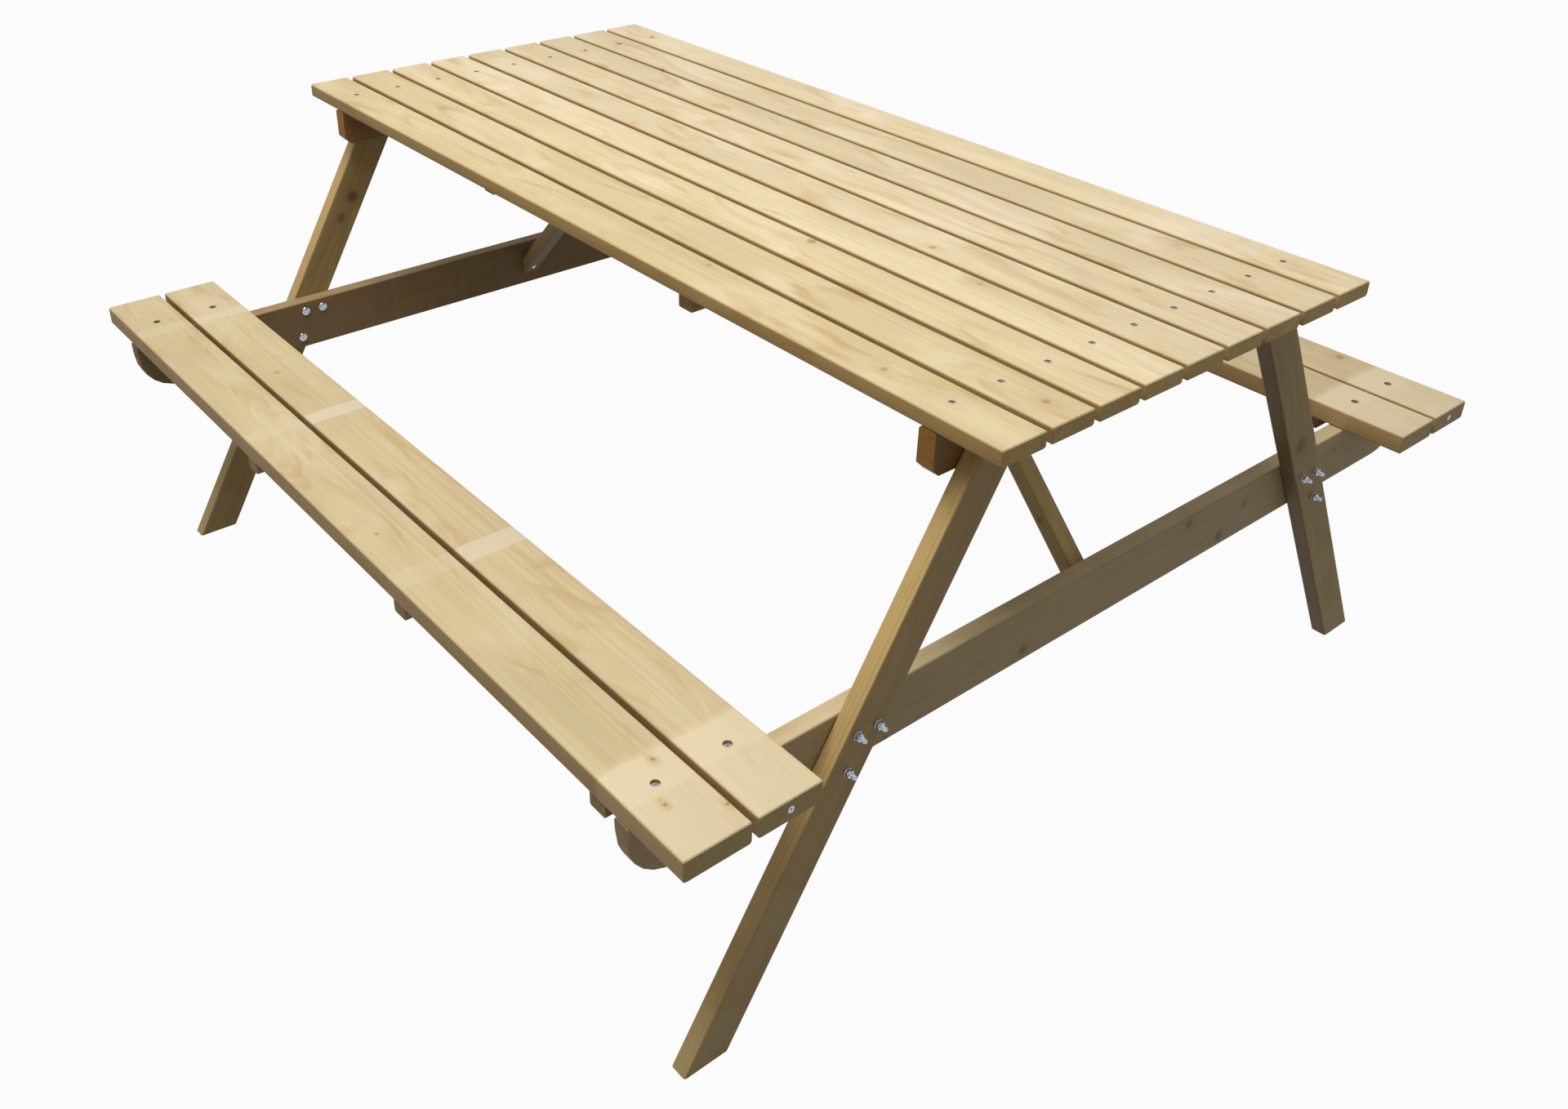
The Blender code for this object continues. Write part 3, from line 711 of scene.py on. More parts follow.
def add_piece(name, mesh, replaced):
    """Puts a finished mesh on the frame in place of the nodes that it stands for."""
    piece = new_object(name, mesh)
    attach(piece, "root")
    if replaced:
        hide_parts(*replaced)


def settle(name, start, tree, values):
    """The plain mesh that a node tree makes from a start mesh, with values by input name."""
    holder = new_object(name, start)
    modifier = holder.modifiers.new(name, "NODES")
    modifier.node_group = tree
    for item in tree.interface.items_tree:
        if item.item_type == "SOCKET" and item.in_out == "INPUT" and item.name in values:
            modifier[item.identifier] = values[item.name]
    mesh = plain_mesh(holder)
    mesh.name = name
    holder.modifiers.remove(modifier)
    bpy.data.objects.remove(holder, do_unlink=True)
    return mesh


def points_mesh(name, places):
    """Loose points that carry the turn of the fastener set on each."""
    mesh = bpy.data.meshes.new(name)
    mesh.from_pydata([place for place, _ in places], [], [])
    store(mesh, "turn", "FLOAT_VECTOR", "POINT", [value for _, turn in places for value in turn])
    return mesh


# Slats of the top and seats

def slat_row_tree():
    """A row of rounded slats with two counterbores each, a slight bow, and stored grain coordinates."""
    if "slat_row" in bpy.data.node_groups:
        return bpy.data.node_groups["slat_row"]
    inputs = [
        ("Geometry", "NodeSocketGeometry", None),
        ("Count", "NodeSocketInt", 2),
        ("Length", "NodeSocketFloat", 1.6),
        ("Width", "NodeSocketFloat", 0.07),
        ("Thickness", "NodeSocketFloat", 0.022),
        ("Pitch", "NodeSocketFloat", 0.0785),
        ("Edge Radius", "NodeSocketFloat", 0.003),
        ("End Ease", "NodeSocketFloat", 0.002),
        ("Hole Reach", "NodeSocketFloat", 0.695),
        ("Hole Radius", "NodeSocketFloat", 0.0058),
        ("Hole Depth", "NodeSocketFloat", 0.0065),
        ("Bow", "NodeSocketFloat", 0.001),
        ("First Board", "NodeSocketInt", 0),
        ("Centre", "NodeSocketVector", (0.0, 0.0, 0.0)),
        ("End Drills", "NodeSocketObject", None),
        ("Material", "NodeSocketMaterial", None),
    ]
    outputs = [("Geometry", "NodeSocketGeometry")]
    tree, w, given, out = new_group("slat_row", "GeometryNodeTree", inputs, outputs)
    x, y, z = w.split(w.add("GeometryNodeInputPosition").outputs[0])
    half = w.math("MULTIPLY", given["Length"], 0.5)

    # A rounded section, and a rail whose points next to its tips are moved to one End Ease from them
    section_size = {"Width": given["Width"], "Height": given["Thickness"]}
    section = w.call("GeometryNodeCurvePrimitiveQuadrilateral", section_size)
    rounding = {"Curve": section, "Count": CORNER_STEPS, "Radius": given["Edge Radius"]}
    section = w.call("GeometryNodeFilletCurve", rounding, mode="POLY")
    start = w.vector(w.math("MULTIPLY", half, -1.0), 0.0, 0.0)
    rail = w.call("GeometryNodeCurvePrimitiveLine", {"Start": start, "End": w.vector(half, 0.0, 0.0)})
    rail = w.call("GeometryNodeResampleCurve", {"Curve": rail, "Count": RAIL_POINTS})
    reach = w.math("ABSOLUTE", x)
    at_tip = w.math("GREATER_THAN", reach, w.math("SUBTRACT", half, TIP_MARGIN))
    near_tip = w.math("SUBTRACT", half, w.math("MULTIPLY", given["Length"], 1.5 / (RAIL_POINTS - 1)))
    last = w.math("SUBTRACT", w.math("GREATER_THAN", reach, near_tip), at_tip)
    slide = w.math("SUBTRACT", w.math("SUBTRACT", half, given["End Ease"]), reach)
    slide = w.math("MULTIPLY", w.math("MULTIPLY", slide, last), w.math("SIGN", x))
    rail = w.call("GeometryNodeSetPosition", {"Geometry": rail, "Offset": w.vector(slide, 0.0, 0.0)})
    slat = w.call("GeometryNodeCurveToMesh", {"Curve": rail, "Profile Curve": section, "Fill Caps": True})

    # The faces at the tips drawn in, which eases the edges of both ends
    twice = w.math("MULTIPLY", given["End Ease"], -2.0)
    inward_y = w.math("MULTIPLY", w.math("DIVIDE", y, given["Width"]), twice)
    inward_z = w.math("MULTIPLY", w.math("DIVIDE", z, given["Thickness"]), twice)
    inward = w.vector(0.0, w.math("MULTIPLY", inward_y, at_tip), w.math("MULTIPLY", inward_z, at_tip))
    slat = w.call("GeometryNodeSetPosition", {"Geometry": slat, "Offset": inward})
    back = w.math("MULTIPLY", w.math("SUBTRACT", given["Count"], 1), -0.5)
    line = {
        "Count": given["Count"],
        "Start Location": w.vector(0.0, w.math("MULTIPLY", back, given["Pitch"]), 0.0),
        "Offset": w.vector(0.0, given["Pitch"], 0.0),
    }
    row = w.call("GeometryNodeMeshLine", line)
    slats = w.call("GeometryNodeInstanceOnPoints", {"Points": row, "Instance": slat})
    slats = w.call("GeometryNodeRealizeInstances", {"Geometry": slats})

    # Counterbores near both ends of each slat, and the bores that the row is given
    drill_size = {
        "Vertices": DRILL_SIDES,
        "Radius": given["Hole Radius"],
        "Depth": w.math("MULTIPLY", given["Hole Depth"], 2.0),
    }
    drill = w.call("GeometryNodeMeshCylinder", drill_size)
    drills = w.add("GeometryNodeJoinGeometry")
    level = w.math("MULTIPLY", given["Thickness"], 0.5)
    for sign in (-1.0, 1.0):
        spot = w.vector(w.math("MULTIPLY", given["Hole Reach"], sign), 0.0, level)
        moved = w.call("GeometryNodeTransform", {"Geometry": drill, "Translation": spot})
        w.feed(drills.inputs[0], moved)
    cutters = w.call("GeometryNodeInstanceOnPoints", {"Points": row, "Instance": drills.outputs[0]})
    cutters = w.call("GeometryNodeRealizeInstances", {"Geometry": cutters})
    end_drills = w.call("GeometryNodeObjectInfo", {"Object": given["End Drills"]}, output="Geometry")
    every_cutter = w.add("GeometryNodeJoinGeometry")
    w.feed(every_cutter.inputs[0], cutters)
    w.feed(every_cutter.inputs[0], end_drills)
    drilled = w.add("GeometryNodeMeshBoolean", operation="DIFFERENCE", solver="EXACT")
    w.feed(drilled.inputs["Mesh 1"], slats)
    w.feed(drilled.inputs["Mesh 2"], every_cutter.outputs[0])
    body = drilled.outputs[0]

    # Coordinates of each board, kept for the wood figure
    number = w.math("ROUND", w.math("SUBTRACT", w.math("DIVIDE", y, given["Pitch"]), back))
    board = w.math("ADD", number, given["First Board"])
    centre_y = w.math("MULTIPLY", w.math("ADD", number, back), given["Pitch"])
    across = w.math("SUBTRACT", y, centre_y)
    normal = w.split(w.add("GeometryNodeInputNormal").outputs[0])
    end = w.math("GREATER_THAN", w.math("ABSOLUTE", normal[0]), 0.85)
    # Faces that lean away from up take the side tint: their own tone and painted shade
    side = w.math("SUBTRACT", 1.0, w.ramp(normal[2], 0.15, 0.85))
    side = w.math("MULTIPLY", side, w.math("SUBTRACT", 1.0, end))
    stores = (
        ("grain", w.vector(x, across, z), "FLOAT_VECTOR", "POINT"),
        ("board", board, "FLOAT", "POINT"),
        ("end", end, "FLOAT", "FACE"),
        ("side", side, "FLOAT", "FACE"),
    )
    for label, value, kind, domain in stores:
        kept = {"Geometry": body, "Name": label, "Value": value}
        body = w.call("GeometryNodeStoreNamedAttribute", kept, data_type=kind, domain=domain)

    # A slow bow, different in each board
    bend_at = w.vector(w.math("MULTIPLY", x, 1.4), w.math("MULTIPLY", board, 2.7), 0.0)
    bend = w.math("SUBTRACT", w.noise(bend_at, 1.0, 1.0), 0.5)
    sway = w.math("MULTIPLY", bend, w.math("MULTIPLY", given["Bow"], 2.0))
    place = w.vector_math("ADD", w.vector(0.0, sway, 0.0), given["Centre"])
    body = w.call("GeometryNodeSetPosition", {"Geometry": body, "Offset": place})
    body = w.call("GeometryNodeRealizeInstances", {"Geometry": body})
    body = w.call("GeometryNodeSetMaterial", {"Geometry": body, "Material": given["Material"]})
    w.feed(out["Geometry"], body)
    return tree


class TABLE_OT_slats(bpy.types.Operator):
    """Make the rows of slats of the top and of both seats"""

    bl_idname = "picnic_table.slats"
    bl_label = "Slats"

    def end_drills(self, name, nodes, centre):
        """Cutters for the end grain screws of a row, about the row's own centre."""
        radius = bpy.context.scene.fastener_sizes.screw_head / 2 + END_DRILL_PLAY
        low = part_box(nodes[0])[0]
        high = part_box(nodes[-1])[1]
        shell = [(high.x - END_DRILL_DEPTH, radius), (high.x + END_DRILL_DEPTH, radius)]
        bm = bmesh.new()
        for screw in END_SCREWS:
            spot = middle(screw)
            if low.y < spot.y < high.y and low.z < spot.z < high.z:
                before = set(bm.verts)
                turned(bm, shell, DRILL_SIDES)
                added = [vertex for vertex in bm.verts if vertex not in before]
                bmesh.ops.translate(bm, verts=added, vec=(-centre.x, spot.y - centre.y, spot.z - centre.z))
        return new_object(name, finished(bm, name))

    def row(self, name, nodes, slot, first_board, finish, hole):
        """One piece for a row of slats, drilled and bowed, in place of their nodes."""
        sizes = bpy.context.scene.slat_sizes
        centre = (middle(nodes[0]) + middle(nodes[-1])) / 2
        drills = self.end_drills(name + "_end_drills", nodes, centre)
        size = extent(nodes[0])
        values = {
            "Count": len(nodes),
            "Length": size.x,
            "Width": size.y,
            "Thickness": size.z,
            "Pitch": (middle(nodes[-1]).y - middle(nodes[0]).y) / (len(nodes) - 1),
            "Edge Radius": sizes.edge_radius,
            "End Ease": sizes.end_ease,
            "Hole Reach": middle("seat_bearer_right").x,
            "Hole Radius": hole[0],
            "Hole Depth": hole[1],
            "Bow": sizes.bow,
            "First Board": first_board,
            "Centre": tuple(centre),
            "End Drills": drills,
            "Material": finish,
        }
        mesh = settle(name, bpy.data.meshes.new(name), slat_row_tree(), values)
        bpy.data.objects.remove(drills, do_unlink=True)
        set_shading(mesh)
        add_piece(name, mesh, nodes)

    def execute(self, context):
        look = context.scene.pine_finish
        sizes = context.scene.slat_sizes
        top = pine(
            "planed_pine_top", look.pale, look.warm, look.knot, placed=TOP_KNOTS,
            knots=0.02, figure=0.23, blotch=0.95, bleach=0.4, side=0.56, end=0.70,
        )
        seat = pine(
            "planed_pine_seat", look.seat_pale, look.seat_warm, look.knot,
            SEAT_MARKS, SEAT_KNOTS, INNER_SEAT_BOARDS, SEAT_END_MARKS,
            knots=0.06, figure=0.26, blotch=0.85, side=0.56, end=0.48,
        )
        self.row("top_slats", TOP_SLATS, "top_slats", TOP_BOARDS, top, sizes.top_hole)
        self.row("front_seat_slats", FRONT_SLATS, "seat_slats", FRONT_BOARDS, seat, sizes.seat_hole)
        self.row("rear_seat_slats", REAR_SLATS, "seat_slats", REAR_BOARDS, seat, sizes.seat_hole)
        return {"FINISHED"}


# Legs, bearers, battens and braces

def run_of(name):
    """Direction of a frame timber's length."""
    size = extent(name)
    if name.startswith("leg_"):
        outward = 1.0 if "front" in name else -1.0
        return Vector((0.0, outward * (size.y - LEG_FOOT_WIDTH), size.z)).normalized()
    if name.startswith("brace_"):
        outward = 1.0 if "left" in name else -1.0
        return Vector((outward, 0.0, BRACE_RISE_OVER_RUN)).normalized()
    return Vector((0.0, 1.0, 0.0))


def breadth_of(name, run):
    """Direction of a frame timber's wide face, square to its length."""
    level = Vector((0.0, 1.0, 0.0)) if name.startswith("brace_") else Vector((1.0, 0.0, 0.0))
    return run.cross(level).normalized()


def eased(mesh):
    """The mesh with normals that follow its large faces, so that its chamfers look rounded."""
    holder = new_object(mesh.name, mesh)
    modifier = holder.modifiers.new("eased", "WEIGHTED_NORMAL")
    modifier.weight = 100
    modifier.keep_sharp = True
    made = plain_mesh(holder)
    bpy.data.objects.remove(holder, do_unlink=True)
    return made


def side_share(lean):
    """How far a face takes the side tint, the sides' own tone with painted shade, by how far its normal leans
    up.
    """
    if lean > LEVEL_FACE:
        return 0.0
    return 0.3 if lean > UPPER_FACE else 0.6


def timber_mesh(name, number, finish):
    """A merged copy of a frame node that carries its grain coordinates."""
    bm = bmesh.new()
    bm.from_mesh(NODES[name].data)
    bmesh.ops.remove_doubles(bm, verts=bm.verts, dist=MERGE_DISTANCE)
    bmesh.ops.dissolve_limit(bm, angle_limit=FLAT_ANGLE, verts=bm.verts, edges=bm.edges)
    mesh = bpy.data.meshes.new(name + "_timber")
    bm.to_mesh(mesh)
    bm.free()
    set_shading(mesh, TIMBER_SMOOTH_BELOW)
    mesh = eased(mesh)
    run = run_of(name)
    breadth = breadth_of(name, run)
    depth = run.cross(breadth)
    centre = middle(name)
    gaps = [vertex.co - centre for vertex in mesh.vertices]
    grain = [value for gap in gaps for value in (gap.dot(run), gap.dot(breadth), gap.dot(depth))]
    faces = {"end": [], "side": [], "upper": [], "under": []}
    for face in mesh.polygons:
        faces["end"].append(float(abs(face.normal.dot(run)) > END_FACE))
        # The side share: own tone and painted shade, less on faces that lean up
        faces["side"].append(side_share(face.normal.z))
        # Faces that look up take painted light, faces that look down painted shade
        faces["upper"].append(float(face.normal.z > UPPER_FACE))
        faces["under"].append(float(face.normal.z < -UPPER_FACE))
    store(mesh, "grain", "FLOAT_VECTOR", "POINT", grain)
    store(mesh, "board", "FLOAT", "POINT", [float(number)] * len(mesh.vertices))
    for label, values in faces.items():
        store(mesh, label, "FLOAT", "FACE", values)
    mesh.materials.clear()
    mesh.materials.append(finish)
    return mesh


class TABLE_OT_frame_timber(bpy.types.Operator):
    """Dress the legs, seat bearers, battens and braces"""

    bl_idname = "picnic_table.frame_timber"
    bl_label = "Frame timber"

    def execute(self, context):
        look = context.scene.pine_finish
        dark = look.dark_knot
        shared = {"knots": 0.06, "blotch": 0.6, "bleach": 0.2, "side": 0.86, "end": 0.66}
        thick = {**shared, "placed": FRAME_KNOTS, "knot_size": 0.008}
        thin = {**shared, "placed": BRACE_KNOTS, "knot_size": 0.005}
        frame_woods = (look.frame_pale, look.frame_warm)
        bearer_woods = (look.bearer_pale, look.bearer_warm)
        batten_woods = (look.batten_pale, look.batten_warm)
        # Painted shade: the left bearer takes a darker copy of the bearer wood
        shaded_bearer_colours = [scaled(colour, LEFT_BEARER_PAINTED_SHADE) for colour in bearer_woods]
        # The end battens take a darker, more saturated copy of the frame wood: own tone and painted shade
        deep_shaded_woods = [scaled(colour, END_BATTEN_TONE_AND_SHADE) for colour in frame_woods]
        heavy = pine("treated_pine_frame", *frame_woods, dark, LEG_MARKS, figure=0.34, **thick)
        bearer = pine("treated_pine_bearer", *bearer_woods, dark, BEARER_MARKS, figure=0.30, **thick)
        shaded_left_bearer = pine(
            "treated_pine_bearer_left", *shaded_bearer_colours, dark, LEFT_BEARER_MARKS, figure=0.40, **thick
        )
        pale_ended = {**thick, "end": 1.50}
        end_batten = pine("treated_pine_end_batten", *deep_shaded_woods, dark, figure=0.34, **pale_ended)
        light = pine("treated_pine_batten", *batten_woods, dark, figure=0.45, **thin)
        groups = (
            ("leg_", heavy, "frame_timber"),
            ("seat_bearer_right", bearer, "frame_timber"),
            ("seat_bearer_left", shaded_left_bearer, "frame_timber"),
            ("top_batten_end_", end_batten, "frame_timber"),
            ("top_batten_mid_", light, "battens_braces"),
            ("seat_batten_", light, "battens_braces"),
            ("brace_left", light, "battens_braces"),
            ("brace_right", light, "battens_braces"),
        )
        number = FRAME_BOARDS
        for start, finish, slot in groups:
            for name in sorted(node for node in NODES if node.startswith(start)):
                add_piece(name + "_timber", timber_mesh(name, number, finish), [name])
                number += 1
        return {"FINISHED"}


# Fasteners

def fastener_tree():
    """Sets one template on every point, turned as the point says."""
    if "fastener_set" in bpy.data.node_groups:
        return bpy.data.node_groups["fastener_set"]
    inputs = [
        ("Geometry", "NodeSocketGeometry", None),
        ("Template", "NodeSocketObject", None),
        ("Material", "NodeSocketMaterial", None),
    ]
    outputs = [("Geometry", "NodeSocketGeometry")]
    tree, w, given, out = new_group("fastener_set", "GeometryNodeTree", inputs, outputs)
    template = w.call("GeometryNodeObjectInfo", {"Object": given["Template"]}, output="Geometry")
    turn = w.add("GeometryNodeInputNamedAttribute", data_type="FLOAT_VECTOR")
    w.feed(turn.inputs["Name"], "turn")
    copies = {"Points": given["Geometry"], "Instance": template, "Rotation": turn.outputs["Attribute"]}
    body = w.call("GeometryNodeInstanceOnPoints", copies)
    body = w.call("GeometryNodeRealizeInstances", {"Geometry": body})
    body = w.call("GeometryNodeSetMaterial", {"Geometry": body, "Material": given["Material"]})
    w.feed(out["Geometry"], body)
    return tree


def turned(bm, rings, sides, hexagon=False):
    """Adds a closed shell turned about X from (x, radius) rings. A hexagon's radius is that of its flats."""
    loops = []
    for x, radius in rings:
        loop = []
        for step in range(sides):
            angle = math.tau * step / sides
            reach = radius
            if hexagon:
                reach = radius / math.cos((angle + math.pi / 6) % (math.pi / 3) - math.pi / 6)
            loop.append(bm.verts.new((x, reach * math.cos(angle), reach * math.sin(angle))))
        loops.append(loop)
    for first, second in zip(loops, loops[1:]):
        for step in range(sides):
            after = (step + 1) % sides
            bm.faces.new((first[step], first[after], second[after], second[step]))
    bm.faces.new(list(reversed(loops[0])))
    bm.faces.new(loops[-1])


def finished(bm, name):
    """The mesh of a finished build, with its faces turned outwards."""
    bmesh.ops.recalc_face_normals(bm, faces=bm.faces)
    mesh = bpy.data.meshes.new(name)
    bm.to_mesh(mesh)
    bm.free()
    set_shading(mesh)
    return mesh


def nut_rings(low, high, radius):
    """The rings of a nut that is chamfered at both faces."""
    face = radius * NUT_FACE_SHARE
    return [(low, face), (low + NUT_CHAMFER, radius), (high - NUT_CHAMFER, radius), (high, face)]


def bolt_template(grip, reach, pitch):
    """Carriage bolt, washer and nut. x = 0 is under the head, grip is under the washer and reach the tip."""
    bm = bmesh.new()
    dome = [(0.0, BOLT_HEAD_RADIUS), (-BOLT_HEAD_EDGE, BOLT_HEAD_RADIUS)]
    for step in range(1, DOME_STEPS + 1):
        angle = math.pi / 2 * step / DOME_STEPS_TO_POLE
        rise = (BOLT_HEAD_RISE - BOLT_HEAD_EDGE) * math.sin(angle)
        dome.append((-BOLT_HEAD_EDGE - rise, BOLT_HEAD_RADIUS * math.cos(angle)))
    neck = grip * PLAIN_SHANK_SHARE
    turned(bm, [(neck, SHANK_RADIUS), (0.0, SHANK_RADIUS)] + dome, BOLT_SIDES)
    seat = grip + WASHER_THICK
    rim = WASHER_RADIUS - WASHER_EASE
    washer = [
        (grip, WASHER_BORE),
        (grip, rim),
        (grip + WASHER_EASE, WASHER_RADIUS),
        (seat - WASHER_EASE, WASHER_RADIUS),
        (seat, rim),
        (seat, WASHER_BORE),
    ]
    turned(bm, washer, WASHER_SIDES)
    turned(bm, nut_rings(seat, seat + NUT_HEIGHT, NUT_RADIUS), NUT_SIDES, hexagon=True)
    thread = [(neck, THREAD_NECK)]
    x = grip
    while x < reach - 1.6 * pitch:
        thread += [(x, THREAD_ROOT), (x + pitch * 0.5, THREAD_CREST)]
        x += pitch
    thread += [(x, THREAD_LAST), (reach, BOLT_TIP)]
    turned(bm, thread, THREAD_SIDES)
    return finished(bm, "bolt_template")


def screw_template(head, length):
    """Countersunk screw with a cross recess. x = 0 is the head's face and the point is at +X."""
    bm = bmesh.new()
    radius = head / 2
    shell = [
        (0.0, radius * SCREW_INNER_SHARE),
        (0.0, radius * SCREW_FACE_SHARE),
        (SCREW_EDGE, radius),
        (SCREW_RIM, radius),
        (SCREW_CONE, SCREW_NECK),
        (length, SCREW_POINT),
    ]
    turned(bm, shell, SCREW_SIDES)
    blank = new_object("screw_blank", finished(bm, "screw_template"))
    recess = bmesh.new()
    for turn in (0.0, math.pi / 2):
        tip = bmesh.ops.create_cube(recess, size=1.0)["verts"]
        for vertex in tip:
            deep = vertex.co.x > 0
            vertex.co.x = RECESS_DEPTH if deep else RECESS_START
            vertex.co.y *= radius * (RECESS_TIP_SHARE if deep else RECESS_MOUTH_SHARE)
            vertex.co.z *= RECESS_WIDTH
        bmesh.ops.rotate(recess, verts=tip, cent=(0, 0, 0), matrix=Matrix.Rotation(turn, 3, "X"))
    cross = new_object("screw_cross", finished(recess, "screw_cross"))
    cut = blank.modifiers.new("cross", "BOOLEAN")
    cut.object = cross
    cut.use_self = True
    mesh = plain_mesh(blank)
    for helper in (blank, cross):
        bpy.data.objects.remove(helper, do_unlink=True)
    set_shading(mesh)
    return mesh


def set_fasteners(name, template_mesh, places, replaced):
    """One piece with a copy of the template on each place."""
    template = new_object(name + "_template", template_mesh)
    values = {"Template": template, "Material": zinc()}
    mesh = settle(name, points_mesh(name, places), fastener_tree(), values)
    bpy.data.objects.remove(template, do_unlink=True)
    set_shading(mesh)
    add_piece(name, mesh, replaced)


class TABLE_OT_bolts(bpy.types.Operator):
    """Set the carriage bolts with their washers and nuts"""

    bl_idname = "picnic_table.bolts"
    bl_label = "Carriage bolts"

    def execute(self, context):
        dice = random.Random(7)
        grip = 2 * extent("leg_front_right").x + 3 * CLEARANCE
        reach = extent(BOLTS[0]).x - BOLT_HEAD_RISE
        places = []
        for name in BOLTS:
            low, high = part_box(name)
            spot = (low + high) / 2
            right = spot.x > 0
            x = low.x + BOLT_HEAD_RISE if right else high.x - BOLT_HEAD_RISE
            spin = dice.uniform(0.0, math.pi)
            places.append(((x, spot.y, spot.z), (spin, 0.0, 0.0 if right else math.pi)))
        mesh = bolt_template(grip, reach, context.scene.fastener_sizes.thread_pitch)
        set_fasteners("carriage_bolts", mesh, places, BOLTS)
        return {"FINISHED"}


class TABLE_OT_screws(bpy.types.Operator):
    """Set the screws of the slats, battens, braces and end grain"""

    bl_idname = "picnic_table.screws"
    bl_label = "Screws"

    def slat_places(self, names, dice, depth):
        """Down into each slat's counterbores."""
        reach = middle("seat_bearer_right").x
        places = []
        for name in names:
            spot = middle(name)
            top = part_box(name)[1].z
            for x in (-reach, reach):
                turn = (dice.uniform(0, math.tau), math.pi / 2, 0.0)
                places.append(((x, spot.y, top - depth + SLAT_SCREW_RISE), turn))
        return places

    def batten_places(self, dice):
        """Up through each light batten into the slats over it."""
        places = []
        pairs = [(name, TOP_SLATS) for name in NODES if name.startswith("top_batten_mid_")]
        for side, slats in (("front", FRONT_SLATS), ("rear", REAR_SLATS)):
            pairs += [(name, slats) for name in NODES if name.startswith("seat_batten_" + side)]
        for batten, slats in sorted(pairs):
            low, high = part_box(batten)
            for slat in slats:
                y = min(max(middle(slat).y, low.y + BATTEN_END_MARGIN), high.y - BATTEN_END_MARGIN)
                spot = ((low.x + high.x) / 2, y, low.z - BATTEN_SCREW_PROUD)
                places.append((spot, (dice.uniform(0, math.tau), -math.pi / 2, 0.0)))
        return places

    def frame_places(self, names, dice):
        """Where the frame's own screw nodes are, each along its node's longest side."""
        places = []
        for name in names:
            low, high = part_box(name)
            spot = (low + high) / 2
            spin = dice.uniform(0, math.tau)
            if "head" in name:
                places.append(((spot.x, spot.y, low.z), (spin, -math.pi / 2, 0.0)))
            elif name == "brace_screw_foot_right":
                places.append(((low.x, spot.y, spot.z), (spin, 0.0, 0.0)))
            else:
                places.append(((high.x, spot.y, spot.z), (spin, 0.0, math.pi)))
        return places

    def execute(self, context):
        dice = random.Random(11)
        sizes = context.scene.fastener_sizes
        holes = context.scene.slat_sizes
        head = sizes.screw_head
        top_places = self.slat_places(TOP_SLATS, dice, holes.top_hole[1])
        top_screw = screw_template(sizes.top_screw_head, SLAT_SCREW_LENGTH)
        set_fasteners("top_screws", top_screw, top_places, [])
        seat_places = self.slat_places(FRONT_SLATS + REAR_SLATS, dice, holes.seat_hole[1])
        set_fasteners("seat_screws", screw_template(head, SLAT_SCREW_LENGTH), seat_places, [])
        batten_screw = screw_template(BATTEN_SCREW_HEAD, BATTEN_SCREW_LENGTH)
        set_fasteners("batten_screws", batten_screw, self.batten_places(dice), [])
        for name, nodes in (("brace_screws", BRACE_SCREWS), ("end_grain_screws", END_SCREWS)):
            frame_screw = screw_template(head, FRAME_SCREW_LENGTH)
            set_fasteners(name, frame_screw, self.frame_places(nodes, dice), nodes)
        return {"FINISHED"}


# Stage

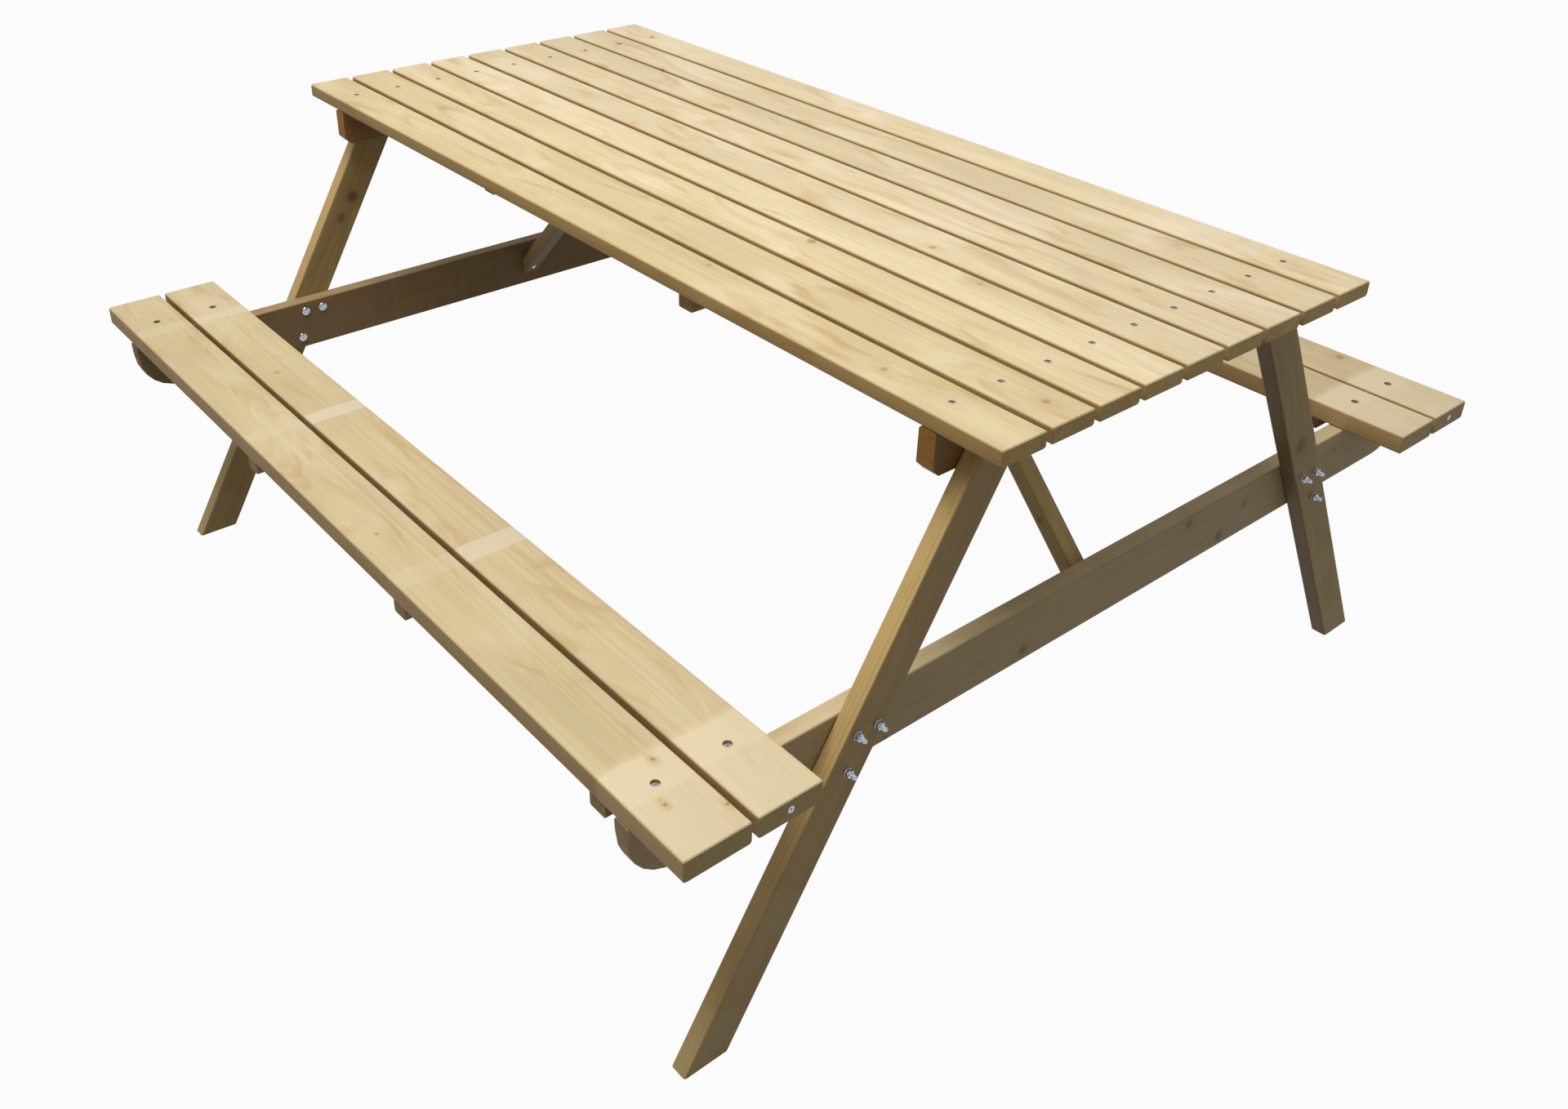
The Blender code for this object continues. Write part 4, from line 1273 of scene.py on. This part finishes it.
class TABLE_OT_stage(bpy.types.Operator):
    """Set the floor, the soft light and the camera"""

    bl_idname = "picnic_table.stage"
    bl_label = "Stage"

    def seen(self, w):
        """1 on rays from the camera, from a shiny surface or through glass, and 0 on the rest."""
        path = w.add("ShaderNodeLightPath")
        seen = w.math("MAXIMUM", path.outputs["Is Camera Ray"], path.outputs["Is Glossy Ray"])
        return w.math("MAXIMUM", seen, path.outputs["Is Transmission Ray"])

    def floor(self, colour):
        """A wide plane that looks almost white and lights the table as its own colour does."""
        bm = bmesh.new()
        bmesh.ops.create_grid(bm, x_segments=1, y_segments=1, size=FLOOR_SIZE)
        mesh = bpy.data.meshes.new("floor")
        bm.to_mesh(mesh)
        bm.free()
        finish = bpy.data.materials.new("pale_floor")
        finish.use_nodes = True
        w = Weaver(finish.node_tree)
        shader = finish.node_tree.nodes["Principled BSDF"]
        shader.inputs["Base Color"].default_value = (*colour, 1)
        shader.inputs["Roughness"].default_value = 0.9
        shader.inputs["Specular IOR Level"].default_value = 0.1
        white = w.add("ShaderNodeEmission")
        mixed = w.add("ShaderNodeMixShader")
        w.feed(mixed.inputs[0], w.math("MULTIPLY", self.seen(w), FLOOR_WHITE))
        w.feed(mixed.inputs[1], shader.outputs[0])
        w.feed(mixed.inputs[2], white.outputs[0])
        w.feed(finish.node_tree.nodes["Material Output"].inputs["Surface"], mixed.outputs[0])
        mesh.materials.append(finish)
        ground = new_object("floor", mesh)
        ground.location.z = -FLOOR_DROP

    def world(self):
        """White where it is seen, and a dim even light elsewhere."""
        world = bpy.data.worlds.new("studio")
        world.use_nodes = True
        bpy.context.scene.world = world
        w = Weaver(world.node_tree)
        back = world.node_tree.nodes["Background"]
        w.feed(back.inputs["Strength"], w.math("MULTIPLY_ADD", self.seen(w), 1.0 - SKY_LIGHT, SKY_LIGHT))
        back.inputs["Color"].default_value = (1.0, 1.0, 1.0, 1.0)

    def lamp(self):
        """A soft round lamp over the table."""
        data = bpy.data.lights.new("overhead", "AREA")
        data.shape = "DISK"
        data.size = LAMP_SIZE
        data.energy = LAMP_POWER
        lamp = new_object("overhead", data)
        lamp.location = LAMP_PLACE
        lamp.rotation_euler = (Vector(LAMP_AIM) - Vector(LAMP_PLACE)).to_track_quat("-Z", "Y").to_euler()

    def camera(self, lens):
        """The camera that the scene is looked at through."""
        data = bpy.data.cameras.new("camera")
        data.sensor_fit = "HORIZONTAL"
        data.sensor_width = SENSOR_WIDTH
        data.lens = lens
        data.shift_x, data.shift_y = CAMERA_SHIFT
        camera = new_object("camera", data)
        ahead = Vector(CAMERA_AHEAD).normalized()
        right = Vector(CAMERA_RIGHT).normalized()
        turn = Matrix((right, right.cross(ahead), -ahead)).transposed()
        camera.matrix_world = Matrix.Translation(CAMERA_PLACE) @ turn.to_4x4()
        bpy.context.scene.camera = camera

    def execute(self, context):
        look = context.scene.stage_look
        context.scene.view_settings.view_transform = "Standard"
        self.floor(look.floor)
        self.world()
        self.lamp()
        self.camera(look.lens)
        return {"FINISHED"}


class TABLE_PT_sidebar(bpy.types.Panel):
    """Lists the steps that dress the table"""

    bl_idname = "TABLE_PT_sidebar"
    bl_label = "Picnic Table"
    bl_space_type = "VIEW_3D"
    bl_region_type = "UI"
    bl_category = "Picnic Table"

    def draw(self, context):
        scene = context.scene
        for group in (scene.slat_sizes, scene.fastener_sizes, scene.pine_finish, scene.stage_look):
            column = self.layout.column(align=True)
            for key in group.__annotations__:
                column.prop(group, key)
        for step in STEPS:
            self.layout.operator(step.bl_idname)


STEPS = (TABLE_OT_slats, TABLE_OT_frame_timber, TABLE_OT_bolts, TABLE_OT_screws, TABLE_OT_stage)
GROUPS = (
    ("slat_sizes", SlatSizes),
    ("fastener_sizes", FastenerSizes),
    ("pine_finish", PineFinish),
    ("stage_look", StageLook),
)


def register():
    """Adds the properties, the steps and the panel to Blender."""
    for name, group in GROUPS:
        bpy.utils.register_class(group)
        setattr(bpy.types.Scene, name, bpy.props.PointerProperty(type=group))
    for kind in (*STEPS, TABLE_PT_sidebar):
        bpy.utils.register_class(kind)


def unregister():
    """Takes away what register adds."""
    for kind in reversed((*STEPS, TABLE_PT_sidebar)):
        bpy.utils.unregister_class(kind)
    for name, group in reversed(GROUPS):
        delattr(bpy.types.Scene, name)
        bpy.utils.unregister_class(group)


def main():
    """Dresses the table on its stage."""
    register()
    bpy.ops.picnic_table.stage()
    bpy.ops.picnic_table.slats()
    bpy.ops.picnic_table.frame_timber()
    bpy.ops.picnic_table.bolts()
    bpy.ops.picnic_table.screws()


if __name__ == "__main__":
    main()
